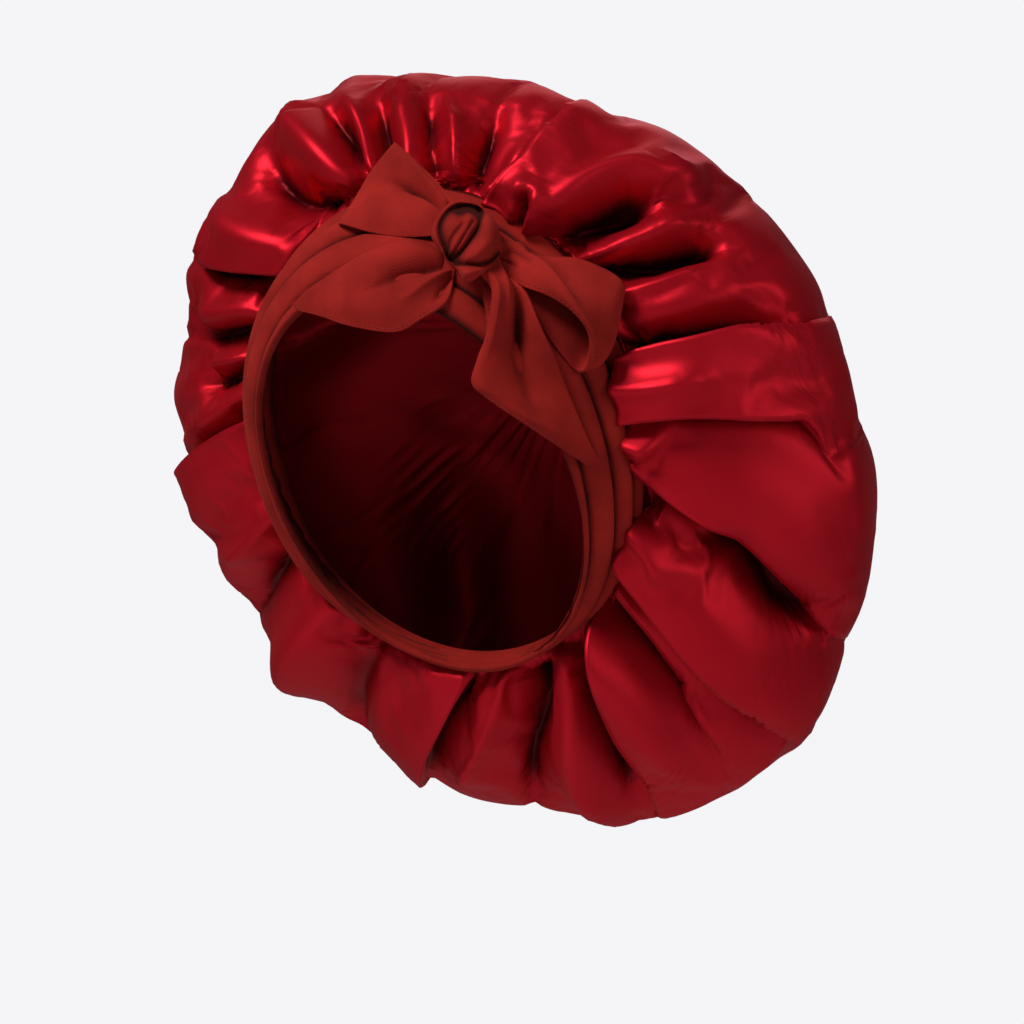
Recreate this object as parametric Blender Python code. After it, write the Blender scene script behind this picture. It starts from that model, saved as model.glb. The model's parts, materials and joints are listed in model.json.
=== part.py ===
"""Sleep bonnet: a large gathered satin crown on a pleated jersey band, tied with a bow at the front.

Metres, +Z up. The face opening looks toward -Y, +X is the wearer's left, and the
origin is the middle of the head loop. Angles round the band run clockwise as the
wearer's face is looked at: 0 forehead, 90 wearer's left, 180 nape, 270 wearer's right.
A share of 0 is the seam between band and crown, 0.5 the widest line of the crown,
1 the middle of its back.
"""

from math import cos, radians, sin

import bmesh
import bpy
import numpy as np
from mathutils import Vector

# Seam between band and crown: an upright oval that leans back
SEAM_TILT = radians(68)
SEAM_HALF_WIDTH = 0.091
SEAM_HALF_LENGTH = 0.106
SEAM_DEPTH = 0.012
SEAM_GAP = 0.0008

# Face edge of the band
FACE_TILT = radians(51)
FACE_HALF_WIDTH = 0.073
FACE_HALF_LENGTH = 0.0975
FACE_FORWARD = 0.019
FACE_DROP = 0.026

# Crown
CROWN_TILT = radians(66)
CROWN_RADIUS = 0.180
CROWN_FRONT_DEPTH = 0.050
CROWN_BACK_DEPTH = 0.112
CROWN_WALL = 0.0013
CROWN_COLUMNS = 116
CROWN_SHARES = (0.0, 0.035, 0.085, 0.145, 0.21, 0.28, 0.35, 0.425, 0.5, 0.58, 0.665, 0.755, 0.85, 0.93)
GATHER_HEIGHT = 0.0022
LAP_STRADDLE = 0.0016
LAP_TUCK = 0.0045
RIPPLE = 0.0015

BAND_WALL = 0.0030
BAND_COLUMNS = 60
BAND_ROWS = 8
BAND_BULGE = 0.007
PLEAT_DEPTH = 0.0022
PLEATS = 3.5

# Outline of the widest line of the crown: angle in degrees, distance as a share of CROWN_RADIUS
RIM = (
    (0, 0.80),
    (30, 0.79),
    (60, 0.82),
    (90, 0.91),
    (120, 1.02),
    (150, 1.15),
    (165, 1.16),
    (180, 1.12),
    (210, 1.06),
    (240, 0.97),
    (270, 0.90),
    (300, 0.88),
    (330, 0.87),
)

# Folds of the crown. kind: ridge, valley, or lap, where one panel lies over the next.
# side says which way the upper panel lies: 1 toward greater angles, -1 toward smaller.
# height and width are shares of CROWN_RADIUS, then the line as (angle, share) points from seam to rim.
FOLDS = (
    # kind, side, height, width, line
    ("lap", 1, 0.050, 0.122, ((27, 0.0), (27, 0.2), (28, 0.45), (28, 0.62))),
    ("valley", 0, 0.050, 0.056, ((44, 0.05), (47, 0.3), (51, 0.44))),
    ("ridge", 0, 0.033, 0.050, ((42, 0.1), (41, 0.3), (46, 0.47), (54, 0.54))),
    ("ridge", 0, 0.033, 0.044, ((51, 0.05), (54, 0.2), (58, 0.4), (66, 0.5))),
    ("valley", 0, 0.056, 0.044, ((56, 0.03), (59, 0.24), (65, 0.46))),
    ("lap", 1, 0.061, 0.144, ((78, 0.02), (79, 0.24), (81, 0.42), (86, 0.66))),
    ("lap", -1, 0.033, 0.089, ((88, 0.02), (90, 0.18), (94, 0.36), (101, 0.46))),
    ("lap", -1, 0.061, 0.156, ((98, 0.0), (104, 0.1), (116, 0.3), (124, 0.42), (133, 0.58))),
    ("lap", -1, 0.061, 0.133, ((119, 0.0), (127, 0.08), (138, 0.26), (143, 0.45), (147, 0.6))),
    ("lap", -1, 0.044, 0.083, ((129, 0.0), (138, 0.15), (149, 0.32), (156, 0.5))),
    ("lap", -1, 0.044, 0.078, ((139, 0.02), (152, 0.12), (160, 0.28), (166, 0.5))),
    ("ridge", 0, 0.039, 0.067, ((158, 0.05), (170, 0.25), (176, 0.55))),
    ("valley", 0, 0.044, 0.061, ((170, 0.06), (184, 0.3), (188, 0.56))),
    ("lap", 1, 0.044, 0.100, ((188, 0.02), (197, 0.25), (202, 0.55))),
    ("valley", 0, 0.039, 0.061, ((214, 0.04), (214, 0.3), (213, 0.56))),
    ("ridge", 0, 0.033, 0.067, ((228, 0.04), (226, 0.3), (224, 0.58))),
    ("valley", 0, 0.039, 0.061, ((244, 0.03), (240, 0.25), (236, 0.5))),
    ("lap", -1, 0.056, 0.133, ((275, 0.01), (268, 0.2), (262, 0.4), (259, 0.6))),
    ("ridge", 0, 0.033, 0.044, ((284, 0.02), (276, 0.2), (268, 0.38))),
    ("valley", 0, 0.039, 0.044, ((293, 0.03), (288, 0.25), (284, 0.52))),
    ("lap", 1, 0.044, 0.100, ((318, 0.03), (309, 0.25), (301, 0.56))),
    ("valley", 0, 0.056, 0.067, ((335, 0.02), (330, 0.16), (325, 0.36), (322, 0.52))),
    ("ridge", 0, 0.039, 0.067, ((345, 0.12), (338, 0.36), (331, 0.56))),
    ("valley", 0, 0.039, 0.039, ((351, 0.1), (346, 0.34), (338, 0.52))),
    ("valley", 0, 0.033, 0.039, ((357, 0.08), (353, 0.36), (348, 0.54))),
    ("ridge", 0, 0.039, 0.056, ((363, 0.1), (359, 0.38), (353, 0.58))),
    ("valley", 0, 0.039, 0.044, ((368, 0.04), (364, 0.32), (359, 0.52))),
    ("valley", 0, 0.039, 0.050, ((18, 0.02), (16, 0.3), (14, 0.54))),
    ("ridge", 0, 0.033, 0.050, ((23, 0.04), (24, 0.3), (22, 0.5))),
    ("valley", 0, 0.039, 0.144, ((20, 0.62), (32, 0.78), (60, 0.86))),
    ("valley", 0, 0.039, 0.122, ((95, 0.6), (104, 0.76), (130, 0.88))),
    ("ridge", 0, 0.033, 0.111, ((150, 0.6), (158, 0.78), (190, 0.92))),
    ("valley", 0, 0.039, 0.122, ((205, 0.6), (212, 0.74), (236, 0.86))),
    ("valley", 0, 0.033, 0.111, ((275, 0.62), (286, 0.76), (312, 0.86))),
    ("ridge", 0, 0.033, 0.111, ((335, 0.62), (346, 0.76), (368, 0.88))),
)

# Bow frame: its middle is in the knot, x runs to the wearer's left, y up and z out of the knot.
# The knot stands on the band at BOW_ANGLE, BOW_ACROSS of the way from the seam to the face edge.
BOW_ANGLE = 26.0
BOW_ACROSS = 0.37
BOW_STANDOFF = 0.0024
BOW_TURN = radians(28)
BOW_TIP = radians(-8)
LOOP_REACH = 0.070
TAIL_REACH = 0.112
LOOP_WALL = 0.0016
TAIL_WALL = 0.0020
KNOT_CLEARANCE = 0.0004

# Outline of the knot: angle from +x toward +y in degrees, distance as a share of KNOT_REACH
KNOT_OUTLINE = (
    (0, 0.67),
    (30, 0.67),
    (60, 0.70),
    (90, 0.83),
    (115, 0.91),
    (145, 0.87),
    (175, 0.85),
    (200, 0.72),
    (230, 0.70),
    (250, 0.78),
    (265, 1.00),
    (285, 0.87),
    (315, 0.78),
    (340, 0.74),
)
KNOT_REACH = 0.0192
KNOT_FRONT = 0.014
KNOT_BACK = 0.008
KNOT_LEAN = -0.80
KNOT_SINK = 0.0034
KNOT_COLUMNS = 30
KNOT_ROWS = 14

# Grooves in the face of the knot: depth, width and (x, y) points as shares of KNOT_REACH
GROOVES = (
    # depth, width, line
    (0.13, 0.13, ((0.17, 0.65), (-0.17, 0.76), (-0.48, 0.57), (-0.63, 0.17), (-0.48, -0.26))),
    (0.15, 0.22, ((-0.22, 0.67), (0.17, 0.65))),
    (0.13, 0.13, ((0.20, 0.61), (0.17, 0.22), (-0.09, -0.22), (-0.39, -0.52))),
    (0.06, 0.11, ((-0.04, 0.30), (-0.26, -0.13), (-0.43, -0.43))),
    (0.11, 0.13, ((-0.39, -0.57), (0.0, -0.61), (0.35, -0.57))),
)

# Each sheet of the bow is a list of stations from the knot outward. A station crosses
# the cloth from its upper or left edge to its lower or right edge, as (x, y, z) points,
# in 168ths of LOOP_REACH for a loop and in 268ths of TAIL_REACH for a tail. The stations
# inside the knot, the first of each sheet and the last of a loop, are in 46ths of KNOT_REACH.
LOOP_PARTS = 168
TAIL_PARTS = 268
KNOT_PARTS = 46
LEFT_LOOP = (
    ((-20, 34, -43), (-24, 24, -31), (-28, 12, -22), (-30, 0, -14)),
    ((-40, 60, -58), (-45, 43, -48), (-58, 23, -31), (-65, 1, -26)),
    ((-58, 86, -79), (-73, 60, -67), (-92, 33, -46), (-98, 7, -41)),
    ((-75, 102, -96), (-96, 75, -86), (-116, 42, -72), (-131, 18, -72)),
    ((-73, 100, -113), (-94, 73, -106), (-113, 40, -91), (-127, 17, -88)),
    ((-42, 70, -91), (-52, 50, -79), (-65, 33, -60), (-75, 18, -43)),
    ((-14, 36, -62), (-18, 30, -53), (-22, 24, -46), (-26, 16, -36)),
)
RIGHT_LOOP = (
    ((26, 0, -19), (28, -8, -10), (28, -16, -2), (26, -24, 0)),
    ((60, -2, -29), (58, -12, -12), (54, -27, 5), (47, -46, 10)),
    ((103, -16, -29), (90, -37, 10), (88, -52, 24), (80, -60, 19)),
    ((136, -30, -24), (120, -65, 12), (113, -80, 26), (107, -79, 22)),
    ((152, -41, -19), (136, -92, 5), (126, -104, 17), (118, -100, 14)),
    ((157, -50, -26), (147, -100, -14), (133, -126, -5), (116, -131, 5)),
    ((152, -52, -35), (138, -87, -34), (122, -112, -19), (105, -133, -7)),
    ((120, -37, -50), (113, -57, -41), (100, -82, -17), (83, -108, 1)),
    ((75, -20, -41), (73, -30, -30), (67, -44, -16), (57, -67, -3)),
    ((26, -5, -29), (27, -10, -23), (27, -15, -18), (26, -20, -12)),
)
LEFT_TAIL = (
    ((-14, -9, -10), (-14, -14, -5), (-14, -19, -2), (-14, -25, 2)),
    ((-40, -3, -17), (-36, -18, -2), (-30, -37, 12), (-23, -62, 24)),
    ((-70, -6, -14), (-67, -27, 6), (-62, -54, 22), (-50, -83, 26)),
    ((-102, -18, -18), (-98, -37, 5), (-90, -65, 22), (-75, -95, 22)),
    ((-135, -33, -29), (-130, -47, -5), (-125, -67, 11), (-118, -89, 11)),
    ((-162, -49, -33), (-158, -57, -21), (-154, -67, -13), (-150, -78, -8)),
    ((-178, -64, -43), (-178, -66, -42), (-177, -68, -41), (-175, -71, -40)),
)
RIGHT_TAIL = (
    ((8, -26, 12), (12, -25, 14), (20, -22, 12), (28, -17, 7)),
    ((11, -52, 22), (22, -54, 31), (41, -46, 24), (51, -50, 22)),
    ((12, -92, 26), (19, -90, 36), (46, -80, 24), (68, -87, 22)),
    ((7, -120, 34), (14, -117, 38), (46, -114, 24), (83, -118, 17)),
    ((1, -144, 34), (15, -147, 38), (55, -147, 19), (97, -152, 5)),
    ((14, -159, 31), (35, -164, 31), (75, -172, 12), (109, -179, -5)),
    ((58, -189, 19), (75, -190, 17), (97, -196, 0), (118, -200, -12)),
    ((118, -228, -19), (122, -227, -20), (126, -225, -22), (130, -223, -24)),
)


def frame(tilt):
    """Down-the-face direction and into-the-crown direction of an oval that leans back by tilt."""
    return np.array([0, cos(tilt), -sin(tilt)]), np.array([0, sin(tilt), cos(tilt)])


def smooth(edge0, edge1, value):
    t = np.clip((value - edge0) / (edge1 - edge0), 0, 1)
    return t * t * (3 - 2 * t)


def round_table(rows, degrees):
    """Smooth closed curve through (angle, value) rows."""
    angle = np.array([r[0] for r in rows], float)
    value = np.array([r[1] for r in rows], float)
    angle = np.concatenate([angle - 360, angle, angle + 360])
    value = np.tile(value, 3)
    degrees = np.mod(degrees, 360)
    i = np.searchsorted(angle, degrees, side="right") - 1
    step = angle[i + 1] - angle[i]
    t = (degrees - angle[i]) / step
    m0 = (value[i + 1] - value[i - 1]) / (angle[i + 1] - angle[i - 1]) * step
    m1 = (value[i + 2] - value[i]) / (angle[i + 2] - angle[i]) * step
    return (
        (2 * t**3 - 3 * t**2 + 1) * value[i]
        + (t**3 - 2 * t**2 + t) * m0
        + (3 * t**2 - 2 * t**3) * value[i + 1]
        + (t**3 - t**2) * m1
    )


def spline(points, count):
    """Smooth open curve through points, sampled count times."""
    p = np.asarray(points, float)
    p = np.vstack([2 * p[0] - p[1], p, 2 * p[-1] - p[-2]])
    u = np.linspace(0, len(points) - 1, count)
    i = np.minimum(u.astype(int), len(points) - 2)
    t = (u - i)[:, None]
    a, b, c, d = p[i], p[i + 1], p[i + 2], p[i + 3]
    return 0.5 * (2 * b + (c - a) * t + (2 * a - 5 * b + 4 * c - d) * t**2 + (3 * b - a - 3 * c + d) * t**3)


def bezier(p0, p1, p2, p3, t):
    t = t[..., None]
    return (1 - t) ** 3 * p0 + 3 * (1 - t) ** 2 * t * p1 + 3 * (1 - t) * t**2 * p2 + t**3 * p3


def seam(degrees):
    down, inward = frame(SEAM_TILT)
    th = np.radians(degrees)[..., None]
    side = np.array([1.0, 0, 0])
    return SEAM_HALF_WIDTH * np.sin(th) * side - SEAM_HALF_LENGTH * np.cos(th) * down + SEAM_DEPTH * inward


def face_edge(degrees):
    down, _ = frame(FACE_TILT)
    th = np.radians(degrees)[..., None]
    side = np.array([1.0, 0, 0])
    centre = np.array([0, -FACE_FORWARD, -FACE_DROP])
    return centre + FACE_HALF_WIDTH * np.sin(th) * side - FACE_HALF_LENGTH * np.cos(th) * down


def crown_base(degrees, share):
    """Crown with no folds: from the seam out to the rim and over to the middle of the back."""
    _, seam_in = frame(SEAM_TILT)
    down, inward = frame(CROWN_TILT)
    th = np.radians(degrees)[..., None]
    out = np.sin(th) * np.array([1.0, 0, 0]) - np.cos(th) * down
    start = seam(degrees) + SEAM_GAP * seam_in
    radius = CROWN_RADIUS * round_table(RIM, degrees)[..., None]
    centre = CROWN_FRONT_DEPTH * inward
    rim = centre + radius * out
    pole = centre + CROWN_BACK_DEPTH * inward + 0 * radius
    gap = np.linalg.norm(rim - start, axis=-1, keepdims=True)
    toward = (rim - start) / gap
    front = bezier(
        start,
        start + 0.45 * gap * (0.8 * toward - 0.55 * inward),
        rim - CROWN_RADIUS * (0.18 * inward + 0.11 * out),
        rim,
        np.clip(2 * share, 0, 1),
    )
    back = bezier(
        rim,
        rim + 0.67 * CROWN_BACK_DEPTH * inward,
        pole + 0.62 * radius * out,
        pole,
        np.clip(2 * share - 1, 0, 1),
    )
    return np.where((share < 0.5)[..., None], front, back)


def grid_normals(p, closed):
    """Unit normals of a grid of points, its first axis closed round or open."""
    if closed:
        du = np.roll(p, -1, 0) - np.roll(p, 1, 0)
    else:
        du = np.gradient(p, axis=0)
    dv = np.gradient(p, axis=1)
    n = np.cross(du, dv)
    return n / np.maximum(np.linalg.norm(n, axis=-1, keepdims=True), 1e-12)


def lap_lines():
    """The lap folds as smooth tracks of (angle, share), sorted round the crown."""
    tracks = [spline(line, 24) for kind, _, _, _, line in FOLDS if kind == "lap"]
    return sorted(tracks, key=lambda t: t[:, 0].mean())


def crown_grid(columns, shares):
    """Angle and share of every crown point. A pair of columns straddles each lap fold."""
    tracks = lap_lines()
    counts = []
    for k, track in enumerate(tracks):
        after = tracks[(k + 1) % len(tracks)]
        counts.append((after[:, 0].mean() - track[:, 0].mean()) % 360)
    counts = np.maximum(3, np.round(np.array(counts) / 360 * columns)).astype(int)
    counts[counts.argmax()] += columns - counts.sum()
    degrees = np.zeros((columns, len(shares)))
    for row, share in enumerate(shares):
        at = np.array([np.interp(share, t[:, 1], t[:, 0]) for t in tracks])
        reach = LAP_STRADDLE / (SEAM_HALF_LENGTH + (CROWN_RADIUS - SEAM_HALF_LENGTH) * min(1.0, 2 * share))
        first = 0
        for k, count in enumerate(counts):
            end = at[(k + 1) % len(at)] + (360 if k + 1 == len(at) else 0)
            inside = np.linspace(at[k] + np.degrees(reach), end - np.degrees(reach), count)
            degrees[first : first + count, row] = inside
            first += count
    return degrees, np.broadcast_to(np.array(shares), degrees.shape)


def fold_shift(base, normal, kind, side, height, width, line):
    """How far one fold moves each point of the crown."""
    way = spline(line, 24)
    track = crown_base(way[:, 0], way[:, 1])
    along = np.gradient(track, axis=0)
    along /= np.linalg.norm(along, axis=1, keepdims=True)
    flat, n = base.reshape(-1, 3), normal.reshape(-1, 3)
    gap = np.linalg.norm(flat[:, None] - track[None], axis=2)
    near = gap.argmin(1)
    off = flat - track[near]
    beyond = np.abs((off * along[near]).sum(1)) * ((near == 0) | (near == 23))
    distance = np.sqrt(np.maximum(gap.min(1) ** 2 - (off * along[near]).sum(1) ** 2, 0))
    fade = np.exp(-((beyond / (0.067 * CROWN_RADIUS)) ** 2)) * (1 - 0.8 * smooth(17, 23, near))
    across = np.cross(n, along[near])
    across /= np.linalg.norm(across, axis=1, keepdims=True)
    h, w = CROWN_RADIUS * height, CROWN_RADIUS * width
    if kind != "lap":
        lift = (h if kind == "ridge" else -h) * np.exp(-((distance / w) ** 2))
        return (lift * fade)[:, None] * n
    round_way = crown_base(way[near, 0] + 1, way[near, 1]) - track[near]
    beside = np.sign((off * across).sum(1))
    upper = beside * np.sign((across * round_way).sum(1)) * side > 0
    raised = h * np.exp(-((distance / w) ** 1.5))
    sunk = -0.7 * h * np.exp(-((distance / (0.55 * w)) ** 2))
    lift = np.where(upper, raised, sunk)
    tuck = np.where(upper, -LAP_TUCK * np.exp(-((distance / (0.5 * w)) ** 2)), 0.0) * beside
    return (lift * fade)[:, None] * n + (tuck * fade)[:, None] * across


def crown_points(degrees, share):
    base = crown_base(degrees, share)
    normal = grid_normals(base, True)
    normal *= np.sign(((base - base.mean((0, 1))) * normal).sum(-1).mean())
    shift = np.zeros_like(base).reshape(-1, 3)
    for fold in FOLDS:
        shift += fold_shift(base, normal, *fold)
    shift = shift.reshape(base.shape)
    ripple = np.cos(np.radians(19 * degrees + 40 * share)) + 0.67 * np.cos(np.radians(31 * degrees))
    ripple = RIPPLE * ripple * smooth(0.05, 0.25, share) * (1 - smooth(0.5, 0.8, share))
    column = np.arange(degrees.shape[0])[:, None]
    gather = GATHER_HEIGHT * np.where(column % 2 == 0, 1.0, -1.0) * (1 - smooth(0.08, 0.24, share))
    start = smooth(0.0, 0.06, share)
    return base + shift * start[..., None] + (ripple + gather * start)[..., None] * normal


def add_object(name, bm, colour, roughness, wall=0.0):
    """One named object from a surface that faces out, given its wall by Solidify."""
    bmesh.ops.recalc_face_normals(bm, faces=bm.faces[:])
    mesh = bpy.data.meshes.new(name)
    bm.to_mesh(mesh)
    bm.free()
    mesh.shade_smooth()
    mesh.set_sharp_from_angle(angle=radians(50))
    obj = bpy.data.objects.new(name, mesh)
    bpy.context.scene.collection.objects.link(obj)
    material = bpy.data.materials.new(name)
    material.use_nodes = True
    shader = material.node_tree.nodes["Principled BSDF"]
    shader.inputs["Base Color"].default_value = (*colour, 1)
    shader.inputs["Roughness"].default_value = roughness
    mesh.materials.append(material)
    if wall:
        solidify = obj.modifiers.new("wall", "SOLIDIFY")
        solidify.thickness = wall
        solidify.offset = -1
    return obj


def extruded_rings(rings, tip=None):
    """A tube through rings of points, made by extruding its first loop, closed to a tip or left open."""
    bm = bmesh.new()
    bmesh.ops.create_circle(bm, cap_ends=False, segments=rings.shape[1], radius=1)
    loop = sorted(bm.verts, key=lambda v: v.index)
    for vertex, point in zip(loop, rings[0]):
        vertex.co = point
    edges = bm.edges[:]
    for ring in rings[1:]:
        made = bmesh.ops.extrude_edge_only(bm, edges=edges)["geom"]
        new = {item for item in made if isinstance(item, bmesh.types.BMVert)}
        loop = [next(e.other_vert(v) for e in v.link_edges if e.other_vert(v) in new) for v in loop]
        for vertex, point in zip(loop, ring):
            vertex.co = point
        edges = [e for e in made if isinstance(e, bmesh.types.BMEdge) and new.issuperset(e.verts)]
    if tip is not None:
        made = bmesh.ops.extrude_edge_only(bm, edges=edges)["geom"]
        last = [item for item in made if isinstance(item, bmesh.types.BMVert)]
        bmesh.ops.pointmerge(bm, verts=last, merge_co=tip)
    return bm


def crown():
    degrees, share = crown_grid(CROWN_COLUMNS, CROWN_SHARES)
    points = crown_points(degrees, share)
    _, inward = frame(CROWN_TILT)
    pole = Vector((CROWN_FRONT_DEPTH + CROWN_BACK_DEPTH) * inward)
    bm = extruded_rings(points.transpose(1, 0, 2), pole)
    obj = add_object("crown", bm, (0.36, 0.012, 0.018), 0.35, CROWN_WALL)
    turn_out(obj, pole / 2)


def band_points(degrees, across):
    """Outer face of the band, across 0 at the seam and 1 at the face edge."""
    start, end = seam(degrees), face_edge(degrees)
    line = start + across[..., None] * (end - start)
    width = np.linalg.norm(end - start, axis=-1)
    way = (end - start) / width[..., None]
    out = line - SEAM_HALF_LENGTH * np.array([0, 0.1, -0.1])
    out -= (out * way).sum(-1, keepdims=True) * way
    out /= np.linalg.norm(out, axis=-1, keepdims=True)
    narrow, full = 0.09 * SEAM_HALF_LENGTH, 0.5 * SEAM_HALF_LENGTH
    lift = BAND_BULGE * np.sin(np.pi * across)
    phase = PLEATS * across + 0.25 * np.sin(np.radians(degrees * 2 + 30))
    step = phase - np.floor(phase)
    pleat = PLEAT_DEPTH * (step**1.5 - 0.5) * smooth(0.0, 0.08, across) * (1 - smooth(0.9, 1.0, across))
    return line + ((lift + pleat) * smooth(narrow, full, width))[..., None] * out


def band():
    angles = np.arange(BAND_COLUMNS) * 360.0 / BAND_COLUMNS
    across, degrees = np.meshgrid(np.linspace(0, 1, BAND_ROWS), angles, indexing="ij")
    bm = extruded_rings(band_points(degrees, across))
    obj = add_object("band", bm, (0.20, 0.022, 0.013), 0.9, BAND_WALL)
    turn_out(obj, Vector((0, 0, 0)))


def turn_out(obj, middle):
    """Turns an open surface so that its faces look away from a middle point."""
    bm = bmesh.new()
    bm.from_mesh(obj.data)
    if sum((f.calc_center_median() - middle).dot(f.normal) * f.calc_area() for f in bm.faces) < 0:
        bmesh.ops.reverse_faces(bm, faces=bm.faces[:])
    bm.to_mesh(obj.data)
    bm.free()


def bow_place(points):
    """Row positions of points given across, up and out of the knot, in metres."""
    a, e = BOW_TURN, BOW_TIP
    right = np.array([cos(a), sin(a), 0])
    up = np.array([-sin(e) * sin(a), sin(e) * cos(a), cos(e)])
    out = np.array([sin(a) * cos(e), -cos(a) * cos(e), sin(e)])
    p = np.asarray(points, float)
    foot = (1 - BOW_ACROSS) * seam(BOW_ANGLE) + BOW_ACROSS * face_edge(BOW_ANGLE)
    lift = BAND_BULGE + 0.5 * PLEAT_DEPTH + KNOT_BACK + KNOT_SINK + BOW_STANDOFF
    return foot + lift * out + p[..., :1] * right + p[..., 1:2] * up + p[..., 2:] * out


def bow_sheet(name, stations, looped, along, across, wall):
    """A cloth strip through its stations, its face turned out of the bow at the knot."""
    part = LOOP_REACH / LOOP_PARTS if looped else TAIL_REACH / TAIL_PARTS
    table = np.array(stations, float)
    held = [0, -1] if looped else [0]
    inside = table[held] * KNOT_REACH / KNOT_PARTS
    table *= part
    table[held] = inside
    lengthwise = np.stack([spline(table[:, j], along) for j in range(table.shape[1])], axis=1)
    points = bow_place(np.stack([spline(row, across) for row in lengthwise]))
    bm = bmesh.new()
    bmesh.ops.create_grid(bm, x_segments=along - 1, y_segments=across - 1, size=1)
    for vertex in bm.verts:
        i = round((vertex.co.x + 1) / 2 * (along - 1))
        j = round((vertex.co.y + 1) / 2 * (across - 1))
        vertex.co = points[i, j]
    obj = add_object(name, bm, (0.24, 0.026, 0.015), 0.9, wall)
    out = Vector(bow_place([0, 0, 1]) - bow_place([0, 0, 0]))
    root = Vector(points[1, across // 2])
    nearest = min(obj.data.polygons, key=lambda face: (face.center - root).length)
    if nearest.normal.dot(out) < 0:
        obj.data.flip_normals()
    return obj


def knot(name, grow):
    """The wrapped knot, leaning with the band under it."""
    bm = bmesh.new()
    bmesh.ops.create_uvsphere(bm, u_segments=KNOT_COLUMNS, v_segments=KNOT_ROWS, radius=1)
    unit = np.array([vertex.co for vertex in bm.verts])
    turn = np.degrees(np.arctan2(unit[:, 1], unit[:, 0]))
    flat = np.hypot(unit[:, 0], unit[:, 1]) ** 0.85
    reach = (KNOT_REACH * round_table(KNOT_OUTLINE, turn) + grow) * flat
    x, y = reach * np.cos(np.radians(turn)), reach * np.sin(np.radians(turn))
    z = np.where(unit[:, 2] > 0, KNOT_FRONT + grow, KNOT_BACK + grow) * unit[:, 2]
    for deep, wide, line in GROOVES:
        track = spline(np.array(line, float) * KNOT_REACH, 30)
        gap = np.hypot(x[:, None] - track[:, 0], y[:, None] - track[:, 1]).min(-1)
        cut = KNOT_REACH * deep * np.exp(-((gap / (KNOT_REACH * wide)) ** 2))
        z -= np.where((unit[:, 2] > 0) & (grow == 0), cut, 0)
    z += KNOT_LEAN * y - KNOT_SINK
    for vertex, point in zip(bm.verts, bow_place(np.stack([x, y, z], axis=-1))):
        vertex.co = point
    return add_object(name, bm, (0.24, 0.026, 0.015), 0.9)


def main():
    for obj in list(bpy.data.objects):
        bpy.data.objects.remove(obj)
    crown()
    band()
    knot("knot", 0.0)
    cutter = knot("knot_clearance", KNOT_CLEARANCE)
    cutter.hide_render = True
    cutter.display_type = "WIRE"
    for name, stations, looped, along, across, wall in (
        ("left_loop", LEFT_LOOP, True, 22, 7, LOOP_WALL),
        ("right_loop", RIGHT_LOOP, True, 28, 7, LOOP_WALL),
        ("left_tail", LEFT_TAIL, False, 14, 8, TAIL_WALL),
        ("right_tail", RIGHT_TAIL, False, 16, 9, TAIL_WALL),
    ):
        cloth = bow_sheet(name, stations, looped, along, across, wall)
        cut = cloth.modifiers.new("knot", "BOOLEAN")
        cut.operation = "DIFFERENCE"
        cut.object = cutter


main()
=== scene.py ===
"""Sleep bonnet: the looks of a gathered satin crown, a pleated jersey band and its bow.

Metres, +Z up, the face opening toward -Y, +X the wearer's left, the origin in the middle
of the head loop. Angles run 0 forehead, 90 wearer's left, 180 nape, 270 wearer's right.
A share of 0 is the seam between band and crown, 0.5 the widest line of the crown and 1
the middle of its back.
"""

import json
from math import cos, pi, radians, sin

import bpy
import bmesh
import numpy as np
from mathutils import Matrix, Vector

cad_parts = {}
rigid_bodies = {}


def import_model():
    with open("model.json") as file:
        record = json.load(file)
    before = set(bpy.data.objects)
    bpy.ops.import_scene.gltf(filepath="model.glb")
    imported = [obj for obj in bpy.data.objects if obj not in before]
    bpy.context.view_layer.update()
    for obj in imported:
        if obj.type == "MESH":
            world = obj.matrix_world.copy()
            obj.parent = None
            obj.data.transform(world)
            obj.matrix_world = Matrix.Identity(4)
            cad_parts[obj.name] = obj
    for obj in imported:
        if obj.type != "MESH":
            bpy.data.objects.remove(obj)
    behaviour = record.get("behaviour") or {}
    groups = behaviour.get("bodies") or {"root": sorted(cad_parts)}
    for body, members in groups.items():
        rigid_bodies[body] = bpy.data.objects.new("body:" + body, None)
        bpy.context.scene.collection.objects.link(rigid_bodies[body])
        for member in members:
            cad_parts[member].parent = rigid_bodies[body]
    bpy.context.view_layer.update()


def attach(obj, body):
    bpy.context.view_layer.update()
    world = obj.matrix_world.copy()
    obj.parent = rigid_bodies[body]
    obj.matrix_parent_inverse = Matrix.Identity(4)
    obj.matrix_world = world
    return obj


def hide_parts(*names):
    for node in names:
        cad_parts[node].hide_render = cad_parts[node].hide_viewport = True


# View of the photograph, floor and light
VIEW_TURN = radians(28)
VIEW_RISE = radians(-8)
VIEW_DISTANCE = 1.6
FRAME_PIXELS = 1024
FOCAL_PIXELS = 3680
ORIGIN_PIXEL = (440, 432)
SENSOR_WIDTH = 36.0
FLOOR_HEIGHT = -0.90
FLOOR_RADIUS = 4.0
FLOOR_COLOUR = (0.86, 0.86, 0.88, 1)
WORLD_COLOUR = (0.91, 0.91, 0.935, 1)
WORLD_LIGHT = 0.17
LAMPS = (
    # name, metres to the right, up and out of the view, size, watts
    ("key", -1.1, 1.6, 1.1, 0.8, 54),
    ("fill", 1.7, 0.3, 1.1, 1.0, 8),
    ("back", 0.3, 1.2, -1.9, 1.4, 6),
)

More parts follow.
